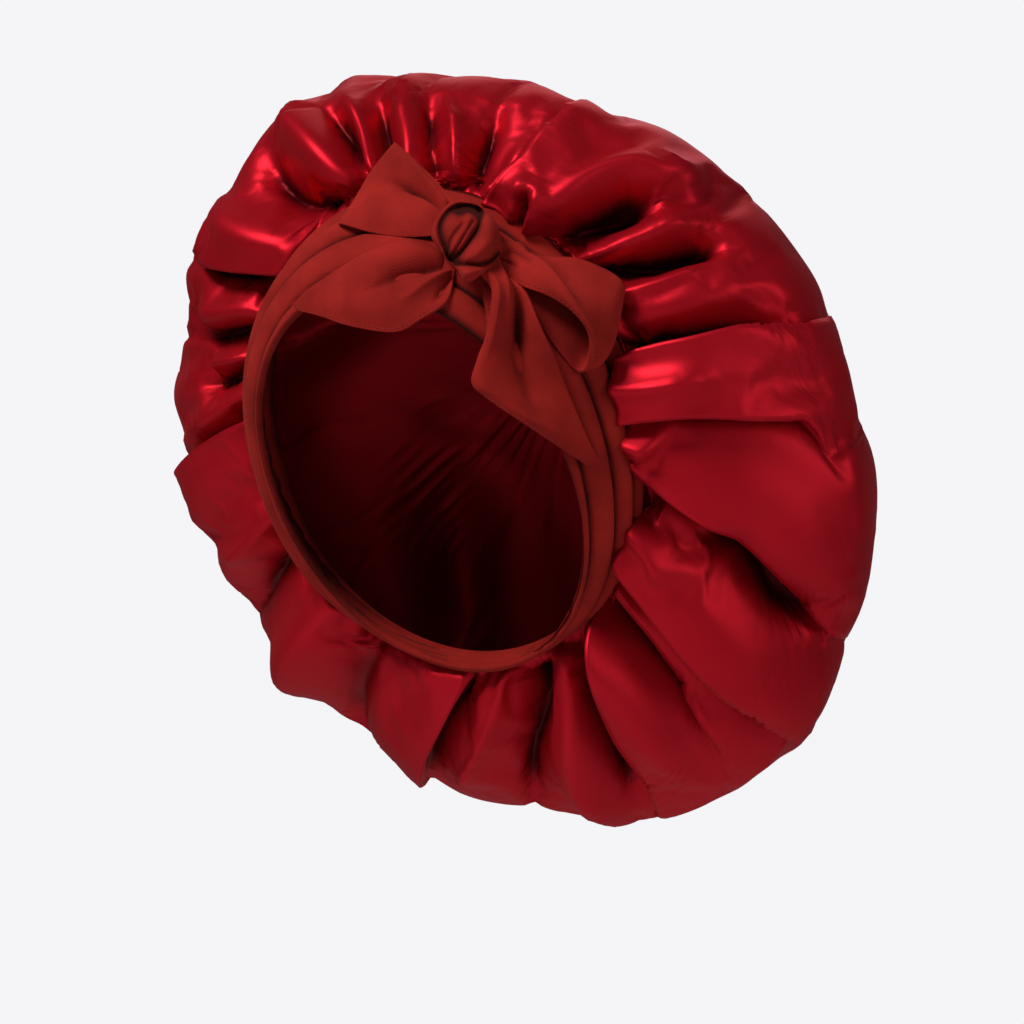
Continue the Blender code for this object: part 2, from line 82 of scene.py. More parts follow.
# Seam between band and crown, and the face edge of the band
SEAM_TILT = radians(68)
SEAM_HALF_WIDTH = 0.091
SEAM_HALF_LENGTH = 0.106
SEAM_DEPTH = 0.012
SEAM_GAP = 0.0008
FACE_TILT = radians(51)
FACE_HALF_WIDTH = 0.073
FACE_HALF_LENGTH = 0.0975
FACE_FORWARD = 0.019
FACE_DROP = 0.026

# Crown. The next seven are shares that bend its sides between seam, widest line and back.
SEAM_REACH = 0.45
SEAM_OUT = 0.8
SEAM_FORWARD = 0.55
RIM_FORWARD = 0.18
RIM_OUT = 0.11
RIM_BACK = 0.67
POLE_REACH = 0.62
CROWN_TILT = radians(66)
CROWN_RADIUS = 0.180
CROWN_FRONT_DEPTH = 0.050
CROWN_BACK_DEPTH = 0.112
CROWN_CLOTH = 0.0007
CROWN_COLUMNS = 440
CROWN_FRONT_ROWS = 68
CROWN_BACK_ROWS = 36
FRONT_SPACING = 1.15
BACK_SPACING = 0.9
BACK_SHARE = 0.49
CROWN_SEED = 11

# Shapes of the laps and folds. A sharp fold's rounding and fall are shares of its width.
LAP_STRADDLE = 0.0007
LAP_TUCK = 0.0045
LAP_FULLNESS = 1.25
LAP_POWER = 1.5
LAP_SINK = 0.7
LAP_SINK_WIDTH = 0.55
LAP_TUCK_WIDTH = 0.5
FOLD_FULLNESS = 1.75
FOLD_END = 0.067
FOLD_FADE_START = 0.6
FOLD_FADE = 0.9
SHARP_ROUNDING = 0.18
SHARP_FALL = 1.4
TRACK_POINTS = 40

# Fine gathers at the seam: ranges are shares of a gather's own place or of the way over the crown
GATHERS = 88
GATHER_HEIGHT = 0.0040
GATHER_SCATTER = 0.3
GATHER_WIDTH = (0.28, 0.46)
GATHER_LENGTH = (0.05, 0.12)
GATHER_EXTRA = 0.16
GATHER_TALL = (0.6, 1.15)
GATHER_SPREAD = 1.5
GATHER_FADE = 0.25

# Soft ripples over the front of the crown
RIPPLES = 9
RIPPLE_COUNT = (9, 34)
RIPPLE_LEAN = 0.8
RIPPLE_HEIGHT = 0.0006

# Cloth settling of the crown: frames, hold away from the seam, pressure and extra cut in metres
SETTLE_FRAMES = 12
SETTLE_HOLD = 0.12
SETTLE_PUFF = 14.0
SETTLE_FULLNESS = 0.006
SETTLE_QUALITY = 4
SETTLE_MASS = 0.15
SETTLE_AIR = 4.0
SETTLE_STRETCH = 12.0
SETTLE_SHEAR = 4.0
SETTLE_BEND = 1.2
SETTLE_DAMPING = 8.0

# Band. Its middle, narrow and full widths are shares of SEAM_HALF_LENGTH.
BAND_CLOTH = 0.0028
BAND_BULGE = 0.007
BAND_COLUMNS = 300
BAND_ROWS = 60
BAND_MIDDLE = (0, 0.1, -0.1)
BAND_NARROW = 0.09
BAND_FULL = 0.34
PLEATS = 3.5
PLEAT_DEPTH = 0.0052
PLEAT_RISE = 0.0011
PLEAT_ROUNDING = 0.55
PLEAT_LEVEL = 0.6
PLEAT_SWAY = 0.25
PLEAT_SWAY_TURN = 30

# Outline of the widest line of the crown: angle, distance as a share of CROWN_RADIUS
RIM = (
    (0, 0.80),
    (30, 0.79),
    (60, 0.82),
    (90, 0.91),
    (120, 1.02),
    (150, 1.15),
    (165, 1.16),
    (180, 1.12),
    (210, 1.06),
    (240, 0.97),
    (270, 0.90),
    (300, 0.88),
    (330, 0.87),
)

# Laps of the crown, where one panel lies over the next. side says which way the upper panel
# lies: 1 toward greater angles, -1 toward smaller. height and width are shares of
# CROWN_RADIUS, then the line as (angle, share) points from the seam outward.
LAPS = (
    # side, height, width, line
    (1, 0.044, 0.110, ((27, 0.0), (28, 0.2), (29, 0.32), (28, 0.45), (28, 0.60))),
    (1, 0.058, 0.130, ((79, 0.0), (78, 0.12), (79, 0.24), (81, 0.42), (85, 0.62))),
    (-1, 0.036, 0.080, ((88, 0.0), (89, 0.15), (92, 0.30), (95, 0.41), (102, 0.46))),
    (-1, 0.058, 0.150, ((96, 0.0), (101, 0.05), (108, 0.15), (116, 0.30), (124, 0.41), (133, 0.58))),
    (-1, 0.058, 0.130, ((121, 0.02), (126, 0.06), (131, 0.13), (137, 0.24), (142, 0.40), (146, 0.58))),
    (-1, 0.040, 0.080, ((128, 0.0), (133, 0.04), (139, 0.15), (146, 0.27), (153, 0.42))),
    (-1, 0.044, 0.078, ((136, 0.0), (144, 0.05), (154, 0.15), (160, 0.28), (166, 0.46))),
    (1, 0.044, 0.100, ((188, 0.02), (197, 0.25), (202, 0.55))),
    (-1, 0.050, 0.130, ((275, 0.01), (269, 0.18), (262, 0.40), (259, 0.60))),
    (1, 0.044, 0.100, ((318, 0.03), (310, 0.23), (301, 0.52))),
)

# Rounded folds of the crown. kind: ridge and valley are round, crest and crease are sharp.
FOLDS = (
    # kind, height, width, line
    ("crease", 0.060, 0.070, ((334, 0.03), (330, 0.16), (326, 0.36), (325, 0.50))),
    ("ridge", 0.040, 0.060, ((346, 0.16), (338, 0.38), (330, 0.54))),
    ("crease", 0.042, 0.036, ((350, 0.12), (346, 0.36), (338, 0.52))),
    ("ridge", 0.026, 0.022, ((351, 0.20), (348, 0.40), (342, 0.54))),
    ("crease", 0.036, 0.036, ((355, 0.20), (353, 0.39), (349, 0.53))),
    ("ridge", 0.042, 0.056, ((364, 0.06), (362, 0.28), (358, 0.42), (352, 0.58))),
    ("crease", 0.042, 0.040, ((367, 0.12), (364, 0.34), (359, 0.52))),
    ("crest", 0.026, 0.034, ((375, 0.05), (370, 0.35), (364, 0.50))),
    ("crease", 0.042, 0.044, ((378, 0.01), (376, 0.32), (374, 0.54))),
    ("ridge", 0.024, 0.030, ((383, 0.02), (385, 0.24), (384, 0.50))),
    ("crest", 0.030, 0.026, ((34, 0.01), (33, 0.13), (31, 0.26))),
    ("crest", 0.030, 0.026, ((39, 0.01), (37, 0.13), (33, 0.25))),
    ("crease", 0.036, 0.024, ((36.5, 0.0), (35, 0.10), (32.5, 0.20))),
    ("ridge", 0.036, 0.050, ((42, 0.02), (40, 0.28), (43, 0.42), (51, 0.50), (56, 0.53))),
    ("valley", 0.058, 0.056, ((45, 0.05), (47, 0.30), (52, 0.44))),
    ("ridge", 0.040, 0.042, ((50, 0.02), (53, 0.16), (57, 0.40), (65, 0.50))),
    ("crease", 0.064, 0.050, ((56, 0.02), (59, 0.24), (63, 0.40), (66, 0.47))),
    ("crest", 0.028, 0.034, ((62, 0.05), (65, 0.29), (67, 0.47))),
    ("ridge", 0.020, 0.060, ((70, 0.02), (71, 0.30), (73, 0.52))),
    ("crest", 0.030, 0.030, ((83, 0.02), (84, 0.12), (86, 0.30))),
    ("crest", 0.034, 0.038, ((91, 0.01), (95, 0.07), (97, 0.11))),
    ("crest", 0.030, 0.034, ((115, 0.03), (120, 0.09), (127, 0.14))),
    ("valley", 0.046, 0.070, ((116, 0.24), (123, 0.34), (131, 0.47))),
    ("crease", 0.046, 0.050, ((138, 0.03), (142, 0.16), (147, 0.36))),
    ("ridge", 0.034, 0.050, ((148, 0.06), (152, 0.19), (160, 0.44))),
    ("crease", 0.052, 0.050, ((154, 0.03), (161, 0.20), (168, 0.44))),
    ("ridge", 0.040, 0.060, ((158, 0.05), (169, 0.25), (174, 0.52))),
    ("crease", 0.056, 0.060, ((168, 0.04), (180, 0.28), (185, 0.50))),
    ("crest", 0.026, 0.030, ((175, 0.02), (188, 0.25), (194, 0.42))),
    ("valley", 0.040, 0.061, ((214, 0.04), (214, 0.30), (213, 0.56))),
    ("ridge", 0.033, 0.067, ((228, 0.04), (226, 0.30), (224, 0.58))),
    ("crease", 0.042, 0.056, ((244, 0.03), (240, 0.25), (236, 0.50))),
    ("crest", 0.026, 0.034, ((252, 0.05), (248, 0.20), (246, 0.36))),
    ("ridge", 0.034, 0.040, ((284, 0.02), (277, 0.16), (268, 0.38))),
    ("crease", 0.042, 0.036, ((289, 0.02), (284, 0.14), (280, 0.30))),
    ("crest", 0.024, 0.026, ((292, 0.02), (288, 0.16), (285, 0.26))),
    ("crease", 0.044, 0.044, ((297, 0.02), (293, 0.20), (286, 0.50))),
    ("ridge", 0.030, 0.040, ((304, 0.02), (298, 0.20), (292, 0.42))),
    ("crease", 0.034, 0.036, ((311, 0.02), (308, 0.20), (299, 0.50))),
    ("ridge", 0.030, 0.044, ((324, 0.04), (318, 0.24), (312, 0.48))),
    ("valley", 0.039, 0.144, ((20, 0.62), (32, 0.78), (60, 0.86))),
    ("valley", 0.039, 0.122, ((95, 0.60), (104, 0.76), (130, 0.88))),
    ("ridge", 0.033, 0.111, ((150, 0.60), (158, 0.78), (190, 0.92))),
    ("valley", 0.039, 0.122, ((205, 0.60), (212, 0.74), (236, 0.86))),
    ("valley", 0.033, 0.111, ((275, 0.62), (286, 0.76), (312, 0.86))),
    ("ridge", 0.033, 0.111, ((335, 0.62), (346, 0.76), (368, 0.88))),
)

# Bow: its middle is in the knot, x runs to the wearer's left, y up and z out of the knot
BOW_ANGLE = 26.0
BOW_ACROSS = 0.37
BOW_STANDOFF = 0.0024
BOW_TURN = radians(28)
BOW_TIP = radians(-8)
LOOP_REACH = 0.070
LOOP_PARTS = 168
TAIL_REACH = 0.112
TAIL_PARTS = 268
LOOP_CLOTH = 0.0014
TAIL_CLOTH = 0.0017
KNOT_OUTLINE = (
    # angle, share of KNOT_REACH
    (0, 0.67),
    (30, 0.67),
    (60, 0.70),
    (90, 0.83),
    (115, 0.91),
    (145, 0.87),
    (175, 0.85),
    (200, 0.72),
    (230, 0.70),
    (250, 0.78),
    (265, 1.00),
    (285, 0.87),
    (315, 0.78),
    (340, 0.74),
)
KNOT_REACH = 0.0192
KNOT_PARTS = 46
KNOT_FRONT = 0.014
KNOT_BACK = 0.008
KNOT_LEAN = -0.80
KNOT_SINK = 0.0034
KNOT_FLATNESS = 0.85
KNOT_GRID = (160, 96)

# Stitching of the bow's hems: distance from the edge, pitch, thread and the edge that is sewn
HEM_INSET = 0.0018
HEM_START = 0.014
STITCH_PITCH = 0.0021
STITCH_SHARE = 0.62
THREAD = 0.00034
THREAD_RISE = 0.25
HEMS = {"right_loop": "last", "left_tail": "last", "right_tail": "first"}

# Painted shade in the folds, darkening the cloth's colour where it lies below its softened surroundings:
# steps that soften the surroundings, and the depth in metres of a full painted shade
PAINTED_SHADE_STEPS = 36
CROWN_PAINTED_SHADE_DEPTH = 0.0060
BAND_PAINTED_SHADE_DEPTH = 0.0014
BOW_PAINTED_SHADE_DEPTH = 0.0024
KNOT_PAINTED_SHADE_DEPTH = 0.0040

# Cloth colours: a painted shade for deep in a fold, two tones of the cloth in the open, and where each
# stands on the ramp
SHADE_STOPS = (0.0, 0.3, 0.7)
SATIN_SHADES = ((0.04, 0.001, 0.002), (0.34, 0.004, 0.010), (0.43, 0.007, 0.016))
JERSEY_SHADES = ((0.030, 0.002, 0.001), (0.18, 0.008, 0.006), (0.29, 0.014, 0.010))
THREAD_SHADES = ((0.16, 0.009, 0.006), (0.20, 0.012, 0.008), (0.27, 0.017, 0.012))

# Folds in the face of the knot: kind, height, width and (x, y) points as shares of KNOT_REACH
KNOT_FOLDS = (
    (
        "crease",
        0.26,
        0.10,
        ((0.24, 0.66), (-0.17, 0.72), (-0.50, 0.55), (-0.65, 0.17), (-0.52, -0.28), (-0.42, -0.5)),
    ),
    ("valley", 0.26, 0.16, ((-0.20, 0.60), (0.14, 0.60))),
    ("ridge", 0.16, 0.13, ((0.20, 0.86), (-0.25, 0.90), (-0.68, 0.66), (-0.84, 0.18), (-0.68, -0.32))),
    ("crease", 0.24, 0.10, ((0.22, 0.60), (0.19, 0.22), (-0.12, -0.26), (-0.42, -0.54))),
    ("ridge", 0.12, 0.12, ((-0.02, 0.52), (-0.06, 0.22), (-0.30, -0.18), (-0.46, -0.42))),
    ("crease", 0.14, 0.06, ((0.06, 0.34), (-0.22, -0.13), (-0.44, -0.47))),
    ("crease", 0.13, 0.06, ((-0.15, 0.30), (-0.41, -0.06), (-0.48, -0.38))),
    ("ridge", 0.14, 0.20, ((0.45, 0.40), (0.42, 0.0), (0.12, -0.38))),
    ("crease", 0.24, 0.09, ((-0.42, -0.58), (0.0, -0.62), (0.38, -0.56), (0.62, -0.35))),
    ("ridge", 0.10, 0.12, ((-0.25, -0.76), (0.10, -0.82), (0.45, -0.72))),
)

# Each sheet of the bow is a list of stations from the knot outward. A station crosses the
# cloth from its upper or left edge to its lower or right edge, as (x, y, z) points, in
# LOOP_PARTS of LOOP_REACH or TAIL_PARTS of TAIL_REACH, and in KNOT_PARTS of KNOT_REACH
# inside the knot.
LEFT_LOOP = (
    ((-20, 34, -43), (-24, 24, -31), (-28, 12, -22), (-30, 0, -14)),
    ((-40, 60, -58), (-45, 43, -48), (-58, 23, -31), (-65, 1, -26)),
    ((-58, 86, -79), (-73, 60, -67), (-92, 33, -46), (-98, 7, -41)),
    ((-75, 102, -96), (-96, 75, -86), (-116, 42, -72), (-131, 18, -72)),
    ((-73, 100, -113), (-94, 73, -106), (-113, 40, -91), (-127, 17, -88)),
    ((-42, 70, -91), (-52, 50, -79), (-65, 33, -60), (-75, 18, -43)),
    ((-14, 36, -62), (-18, 30, -53), (-22, 24, -46), (-26, 16, -36)),
)
RIGHT_LOOP = (
    ((26, 0, -19), (28, -8, -10), (28, -16, -2), (26, -24, 0)),
    ((60, -2, -29), (58, -12, -12), (54, -27, 5), (47, -46, 10)),
    ((103, -16, -29), (90, -37, 10), (88, -52, 24), (80, -60, 19)),
    ((136, -30, -24), (120, -65, 12), (113, -80, 26), (107, -79, 22)),
    ((152, -41, -19), (136, -92, 5), (126, -104, 17), (118, -100, 14)),
    ((157, -50, -26), (147, -100, -14), (133, -126, -5), (116, -131, 5)),
    ((152, -52, -35), (138, -87, -34), (122, -112, -19), (105, -133, -7)),
    ((120, -37, -50), (113, -57, -41), (100, -82, -17), (83, -108, 1)),
    ((75, -20, -41), (73, -30, -30), (67, -44, -16), (57, -67, -3)),
    ((26, -5, -29), (27, -10, -23), (27, -15, -18), (26, -20, -12)),
)
LEFT_TAIL = (
    ((-14, -9, -10), (-14, -14, -5), (-14, -19, -2), (-14, -25, 2)),
    ((-40, -3, -17), (-36, -18, -2), (-30, -37, 12), (-23, -62, 24)),
    ((-70, -6, -14), (-67, -27, 6), (-62, -54, 22), (-50, -83, 26)),
    ((-102, -18, -18), (-98, -37, 5), (-90, -65, 22), (-75, -95, 22)),
    ((-135, -33, -29), (-130, -47, -5), (-125, -67, 11), (-118, -89, 11)),
    ((-162, -49, -33), (-158, -57, -21), (-154, -67, -13), (-150, -78, -8)),
    ((-178, -64, -43), (-178, -66, -42), (-177, -68, -41), (-175, -71, -40)),
)
RIGHT_TAIL = (
    ((8, -26, 12), (12, -25, 14), (20, -22, 12), (28, -17, 7)),
    ((11, -52, 22), (22, -54, 31), (41, -46, 24), (51, -50, 22)),
    ((12, -92, 26), (19, -90, 36), (46, -80, 24), (68, -87, 22)),
    ((7, -120, 34), (14, -117, 38), (46, -114, 24), (83, -118, 17)),
    ((1, -144, 34), (15, -147, 38), (55, -147, 19), (97, -152, 5)),
    ((14, -159, 31), (35, -164, 31), (75, -172, 12), (109, -179, -5)),
    ((58, -189, 19), (75, -190, 17), (97, -196, 0), (118, -200, -12)),
    ((118, -228, -19), (122, -227, -20), (126, -225, -22), (130, -223, -24)),
)

# Folds of the bow's sheets: kind, height in metres, width and (x, y) points in sheet parts
LEFT_LOOP_FOLDS = (
    ("crease", 0.0060, 9, ((-26, 30), (-40, 42), (-57, 53), (-76, 63), (-100, 66))),
    ("crest", 0.0032, 7, ((-28, 24), (-42, 33), (-58, 44), (-72, 54))),
    ("ridge", 0.0026, 7, ((-24, 42), (-36, 56), (-50, 72), (-64, 86))),
    ("ridge", 0.0030, 24, ((-36, 14), (-62, 24), (-96, 38))),
)
RIGHT_LOOP_FOLDS = (
    ("crest", 0.0030, 7, ((56, -8), (75, -26), (93, -51), (111, -79), (126, -104))),
    ("valley", 0.0056, 12, ((66, -4), (86, -20), (106, -46), (124, -76))),
    ("crease", 0.0036, 7, ((28, -7), (46, -8), (60, -18), (68, -32))),
    ("crease", 0.0028, 6, ((28, -18), (42, -24), (54, -36))),
)
LEFT_TAIL_FOLDS = (
    ("crease", 0.0068, 10, ((-20, -26), (-45, -30), (-68, -35), (-95, -48), (-130, -64))),
    ("crest", 0.0036, 8, ((-20, -32), (-42, -46), (-60, -58), (-78, -68))),
    ("ridge", 0.0044, 18, ((-34, -15), (-76, -20), (-118, -37), (-150, -53))),
    ("valley", 0.0044, 9, ((-18, -16), (-34, -7), (-70, -4))),
    ("crease", 0.0030, 6, ((-18, -38), (-30, -56), (-38, -70))),
)
RIGHT_TAIL_FOLDS = (
    ("crest", 0.0034, 7, ((13, -34), (26, -50), (25, -74), (20, -106), (13, -130))),
    ("crease", 0.0040, 5, ((8, -40), (17, -54), (15, -76), (10, -106), (4, -126))),
    ("crest", 0.0034, 9, ((30, -22), (38, -50), (38, -90), (36, -120))),
    ("crease", 0.0070, 11, ((36, -22), (48, -58), (50, -98), (50, -126), (64, -168), (84, -196))),
    ("ridge", 0.0036, 13, ((50, -40), (66, -80), (82, -120), (98, -160))),
)
BOW_FOLD_FADE = 0.35

# Sheets of the bow: node, stations, looped or not, folds, points along and across, cloth, cut size
BOW_SHEETS = (
    ("left_loop", LEFT_LOOP, True, LEFT_LOOP_FOLDS, 130, 56, LOOP_CLOTH, (0.034, 0.10)),
    ("right_loop", RIGHT_LOOP, True, RIGHT_LOOP_FOLDS, 150, 56, LOOP_CLOTH, (0.032, 0.13)),
    ("left_tail", LEFT_TAIL, False, LEFT_TAIL_FOLDS, 100, 60, TAIL_CLOTH, (0.037, 0.069)),
    ("right_tail", RIGHT_TAIL, False, RIGHT_TAIL_FOLDS, 130, 60, TAIL_CLOTH, (0.034, 0.085)),
)


def frame_axes(tilt):
    """Down-the-face direction and into-the-crown direction of an oval that leans back by tilt."""
    return np.array([0, cos(tilt), -sin(tilt)]), np.array([0, sin(tilt), cos(tilt)])


def smooth(edge0, edge1, value):
    """Eases from 0 at one edge to 1 at the other."""
    t = np.clip((value - edge0) / (edge1 - edge0), 0, 1)
    return t * t * (3 - 2 * t)


def round_table(rows, degrees):
    """Smooth closed curve through (angle, value) rows."""
    angle = np.array([r[0] for r in rows], float)
    value = np.tile(np.array([r[1] for r in rows], float), 3)
    angle = np.concatenate([angle - 360, angle, angle + 360])
    degrees = np.mod(degrees, 360)
    i = np.searchsorted(angle, degrees, side="right") - 1
    step = angle[i + 1] - angle[i]
    t = (degrees - angle[i]) / step
    m0 = (value[i + 1] - value[i - 1]) / (angle[i + 1] - angle[i - 1]) * step
    m1 = (value[i + 2] - value[i]) / (angle[i + 2] - angle[i]) * step
    return (
        (2 * t**3 - 3 * t**2 + 1) * value[i]
        + (t**3 - 2 * t**2 + t) * m0
        + (3 * t**2 - 2 * t**3) * value[i + 1]
        + (t**3 - t**2) * m1
    )


def spline(points, count):
    """Smooth open curve through points, sampled count times."""
    p = np.asarray(points, float)
    p = np.vstack([2 * p[0] - p[1], p, 2 * p[-1] - p[-2]])
    u = np.linspace(0, len(points) - 1, count)
    i = np.minimum(u.astype(int), len(points) - 2)
    t = (u - i)[:, None]
    a, b, c, d = p[i], p[i + 1], p[i + 2], p[i + 3]
    bend = (2 * a - 5 * b + 4 * c - d) * t**2
    return 0.5 * (2 * b + (c - a) * t + bend + (3 * b - a - 3 * c + d) * t**3)


def bezier(p0, p1, p2, p3, t):
    """Cubic curve from p0 to p3, pulled toward p1 and p2."""
    t = t[..., None]
    return (1 - t) ** 3 * p0 + 3 * (1 - t) ** 2 * t * p1 + 3 * (1 - t) * t**2 * p2 + t**3 * p3


def seam(degrees):
    """Points of the seam between the band and the crown."""
    down, inward = frame_axes(SEAM_TILT)
    th = np.radians(degrees)[..., None]
    side = np.array([1.0, 0, 0])
    return SEAM_HALF_WIDTH * np.sin(th) * side - SEAM_HALF_LENGTH * np.cos(th) * down + SEAM_DEPTH * inward


def face_edge(degrees):
    """Points of the band's edge round the face."""
    down, _ = frame_axes(FACE_TILT)
    th = np.radians(degrees)[..., None]
    side = np.array([1.0, 0, 0])
    centre = np.array([0, -FACE_FORWARD, -FACE_DROP])
    return centre + FACE_HALF_WIDTH * np.sin(th) * side - FACE_HALF_LENGTH * np.cos(th) * down


def crown_base(degrees, share):
    """Crown with no folds: from the seam out to the rim and over to the middle of the back."""
    _, seam_in = frame_axes(SEAM_TILT)
    down, inward = frame_axes(CROWN_TILT)
    th = np.radians(degrees)[..., None]
    out = np.sin(th) * np.array([1.0, 0, 0]) - np.cos(th) * down
    start = seam(degrees) + SEAM_GAP * seam_in
    radius = CROWN_RADIUS * round_table(RIM, degrees)[..., None]
    centre = CROWN_FRONT_DEPTH * inward
    rim = centre + radius * out
    pole = centre + CROWN_BACK_DEPTH * inward + 0 * radius
    gap = np.linalg.norm(rim - start, axis=-1, keepdims=True)
    toward = (rim - start) / gap
    front = bezier(
        start,
        start + SEAM_REACH * gap * (SEAM_OUT * toward - SEAM_FORWARD * inward),
        rim - CROWN_RADIUS * (RIM_FORWARD * inward + RIM_OUT * out),
        rim,
        np.clip(2 * share, 0, 1),
    )
    back = bezier(
        rim,
        rim + RIM_BACK * CROWN_BACK_DEPTH * inward,
        pole + POLE_REACH * radius * out,
        pole,
        np.clip(2 * share - 1, 0, 1),
    )
    return np.where((share < 0.5)[..., None], front, back)


def grid_normals(p, closed):
    """Unit normals of a grid of points, its first axis closed round or open."""
    du = np.roll(p, -1, 0) - np.roll(p, 1, 0) if closed else np.gradient(p, axis=0)
    n = np.cross(du, np.gradient(p, axis=1))
    return n / np.maximum(np.linalg.norm(n, axis=-1, keepdims=True), 1e-12)


def soften(points, closed):
    """Averages a grid of points with its neighbours, its first axis closed round or open."""
    wide = np.pad(points, ((1, 1), (0, 0), (0, 0)), mode="wrap" if closed else "edge")
    points = (wide[:-2] + 2 * wide[1:-1] + wide[2:]) / 4
    wide = np.pad(points, ((0, 0), (1, 1), (0, 0)), mode="edge")
    return (wide[:, :-2] + 2 * wide[:, 1:-1] + wide[:, 2:]) / 4


def painted_fold_shade(points, normal, closed, deep):
    """Painted shade of each point, 0 to 1: how far it lies below its softened surroundings."""
    soft = points
    for _ in range(PAINTED_SHADE_STEPS):
        soft = soften(soft, closed)
    return np.clip(((soft - points) * normal).sum(-1) / deep, 0, 1)


def lap_lines():
    """The laps as smooth tracks of (angle, share), sorted round the crown."""
    tracks = [spline(line, TRACK_POINTS) for _, _, _, line in LAPS]
    return sorted(tracks, key=lambda t: t[:, 0].mean())


def crown_grid(columns, shares):
    """Angle and share of every crown point. A pair of columns straddles each lap."""
    tracks = lap_lines()
    spans = []
    for k, track in enumerate(tracks):
        after = tracks[(k + 1) % len(tracks)]
        spans.append((after[:, 0].mean() - track[:, 0].mean()) % 360)
    counts = np.maximum(6, np.round(np.array(spans) / 360 * columns)).astype(int)
    counts[counts.argmax()] += columns - counts.sum()
    degrees = np.zeros((columns, len(shares)))
    for row, share in enumerate(shares):
        at = np.array([np.interp(share, t[:, 1], t[:, 0]) for t in tracks])
        radius = SEAM_HALF_LENGTH + (CROWN_RADIUS - SEAM_HALF_LENGTH) * min(1.0, 2 * share)
        reach = np.degrees(LAP_STRADDLE / radius)
        first = 0
        for k, count in enumerate(counts):
            end = at[(k + 1) % len(at)] + (360 if k + 1 == len(at) else 0)
            degrees[first : first + count, row] = np.linspace(at[k] + reach, end - reach, count)
            first += count
    return degrees, np.broadcast_to(np.array(shares), degrees.shape)


def to_track(flat, line):
    """A fold's line over the crown, and each point's nearest spot on it, distance and fade at its ends."""
    way = spline(line, TRACK_POINTS)
    track = crown_base(way[:, 0], way[:, 1])
    along = np.gradient(track, axis=0)
    along /= np.linalg.norm(along, axis=1, keepdims=True)
    square = (flat**2).sum(1)[:, None] + (track**2).sum(1)[None] - 2 * flat @ track.T
    near = square.argmin(1)
    off = flat - track[near]
    ahead = (off * along[near]).sum(1)
    distance = np.sqrt(np.maximum((off**2).sum(1) - ahead**2, 0))
    beyond = np.abs(ahead) * ((near == 0) | (near == len(track) - 1))
    fade = np.exp(-((beyond / (FOLD_END * CROWN_RADIUS)) ** 2))
    fade *= 1 - FOLD_FADE * smooth(FOLD_FADE_START * len(track), len(track) - 1, near)
    return way, track, along, near, off, distance, fade


def profile(kind, distance, width):
    """Height across a fold, 1 at its line. A crest and a crease are sharp, a ridge and a valley round."""
    sign = 1 if kind in ("ridge", "crest") else -1
    if kind in ("crest", "crease"):
        soft = np.sqrt(distance**2 + (SHARP_ROUNDING * width) ** 2) - SHARP_ROUNDING * width
        return sign * np.exp(-SHARP_FALL * soft / width)
    return sign * np.exp(-((distance / width) ** 2))


def fold_shift(flat, n, kind, height, width, line):
    """How far a rounded fold moves each point of the crown."""
    _, _, _, _, _, distance, fade = to_track(flat, line)
    lift = FOLD_FULLNESS * CROWN_RADIUS * height * profile(kind, distance, CROWN_RADIUS * width)
    return (lift * fade)[:, None] * n


def lap_shift(flat, n, side, height, width, line):
    """How far a lap moves each point: the upper panel's lip rises and reaches over the lower."""
    way, track, along, near, off, distance, fade = to_track(flat, line)
    across = np.cross(n, along[near])
    across /= np.linalg.norm(across, axis=1, keepdims=True)
    h, w = LAP_FULLNESS * CROWN_RADIUS * height, CROWN_RADIUS * width
    round_way = crown_base(way[near, 0] + 1, way[near, 1]) - track[near]
    beside = np.sign((off * across).sum(1))
    upper = beside * np.sign((across * round_way).sum(1)) * side > 0
    raised = h * np.exp(-((distance / w) ** LAP_POWER))
    sunk = -LAP_SINK * h * np.exp(-((distance / (LAP_SINK_WIDTH * w)) ** 2))
    tuck = np.where(upper, -LAP_TUCK * np.exp(-((distance / (LAP_TUCK_WIDTH * w)) ** 2)), 0.0) * beside
    return (np.where(upper, raised, sunk) * fade)[:, None] * n + (tuck * fade)[:, None] * across


def gathers(turn, share, rng):
    """Height of the fine gathers that fan out from the seam, each with its own length and width."""
    height = np.zeros_like(share)
    for k in range(GATHERS):
        middle = (k + rng.uniform(-GATHER_SCATTER, GATHER_SCATTER)) / GATHERS
        width = rng.uniform(*GATHER_WIDTH) / GATHERS
        length = rng.uniform(*GATHER_LENGTH) + GATHER_EXTRA * rng.uniform() ** 3
        tall = rng.uniform(*GATHER_TALL)
        gap = np.abs((turn - middle + 0.5) % 1.0 - 0.5)
        spread = width * (1 + GATHER_SPREAD * share / length)
        fade = 1 - smooth(GATHER_FADE * length, length, share)
        height += tall * np.exp(-((gap / spread) ** 2)) * fade
    height -= 0.5 * (1 - smooth(0.02, 0.12, share))
    return GATHER_HEIGHT * height * (0.25 + 0.75 * smooth(0, 0.025, share))


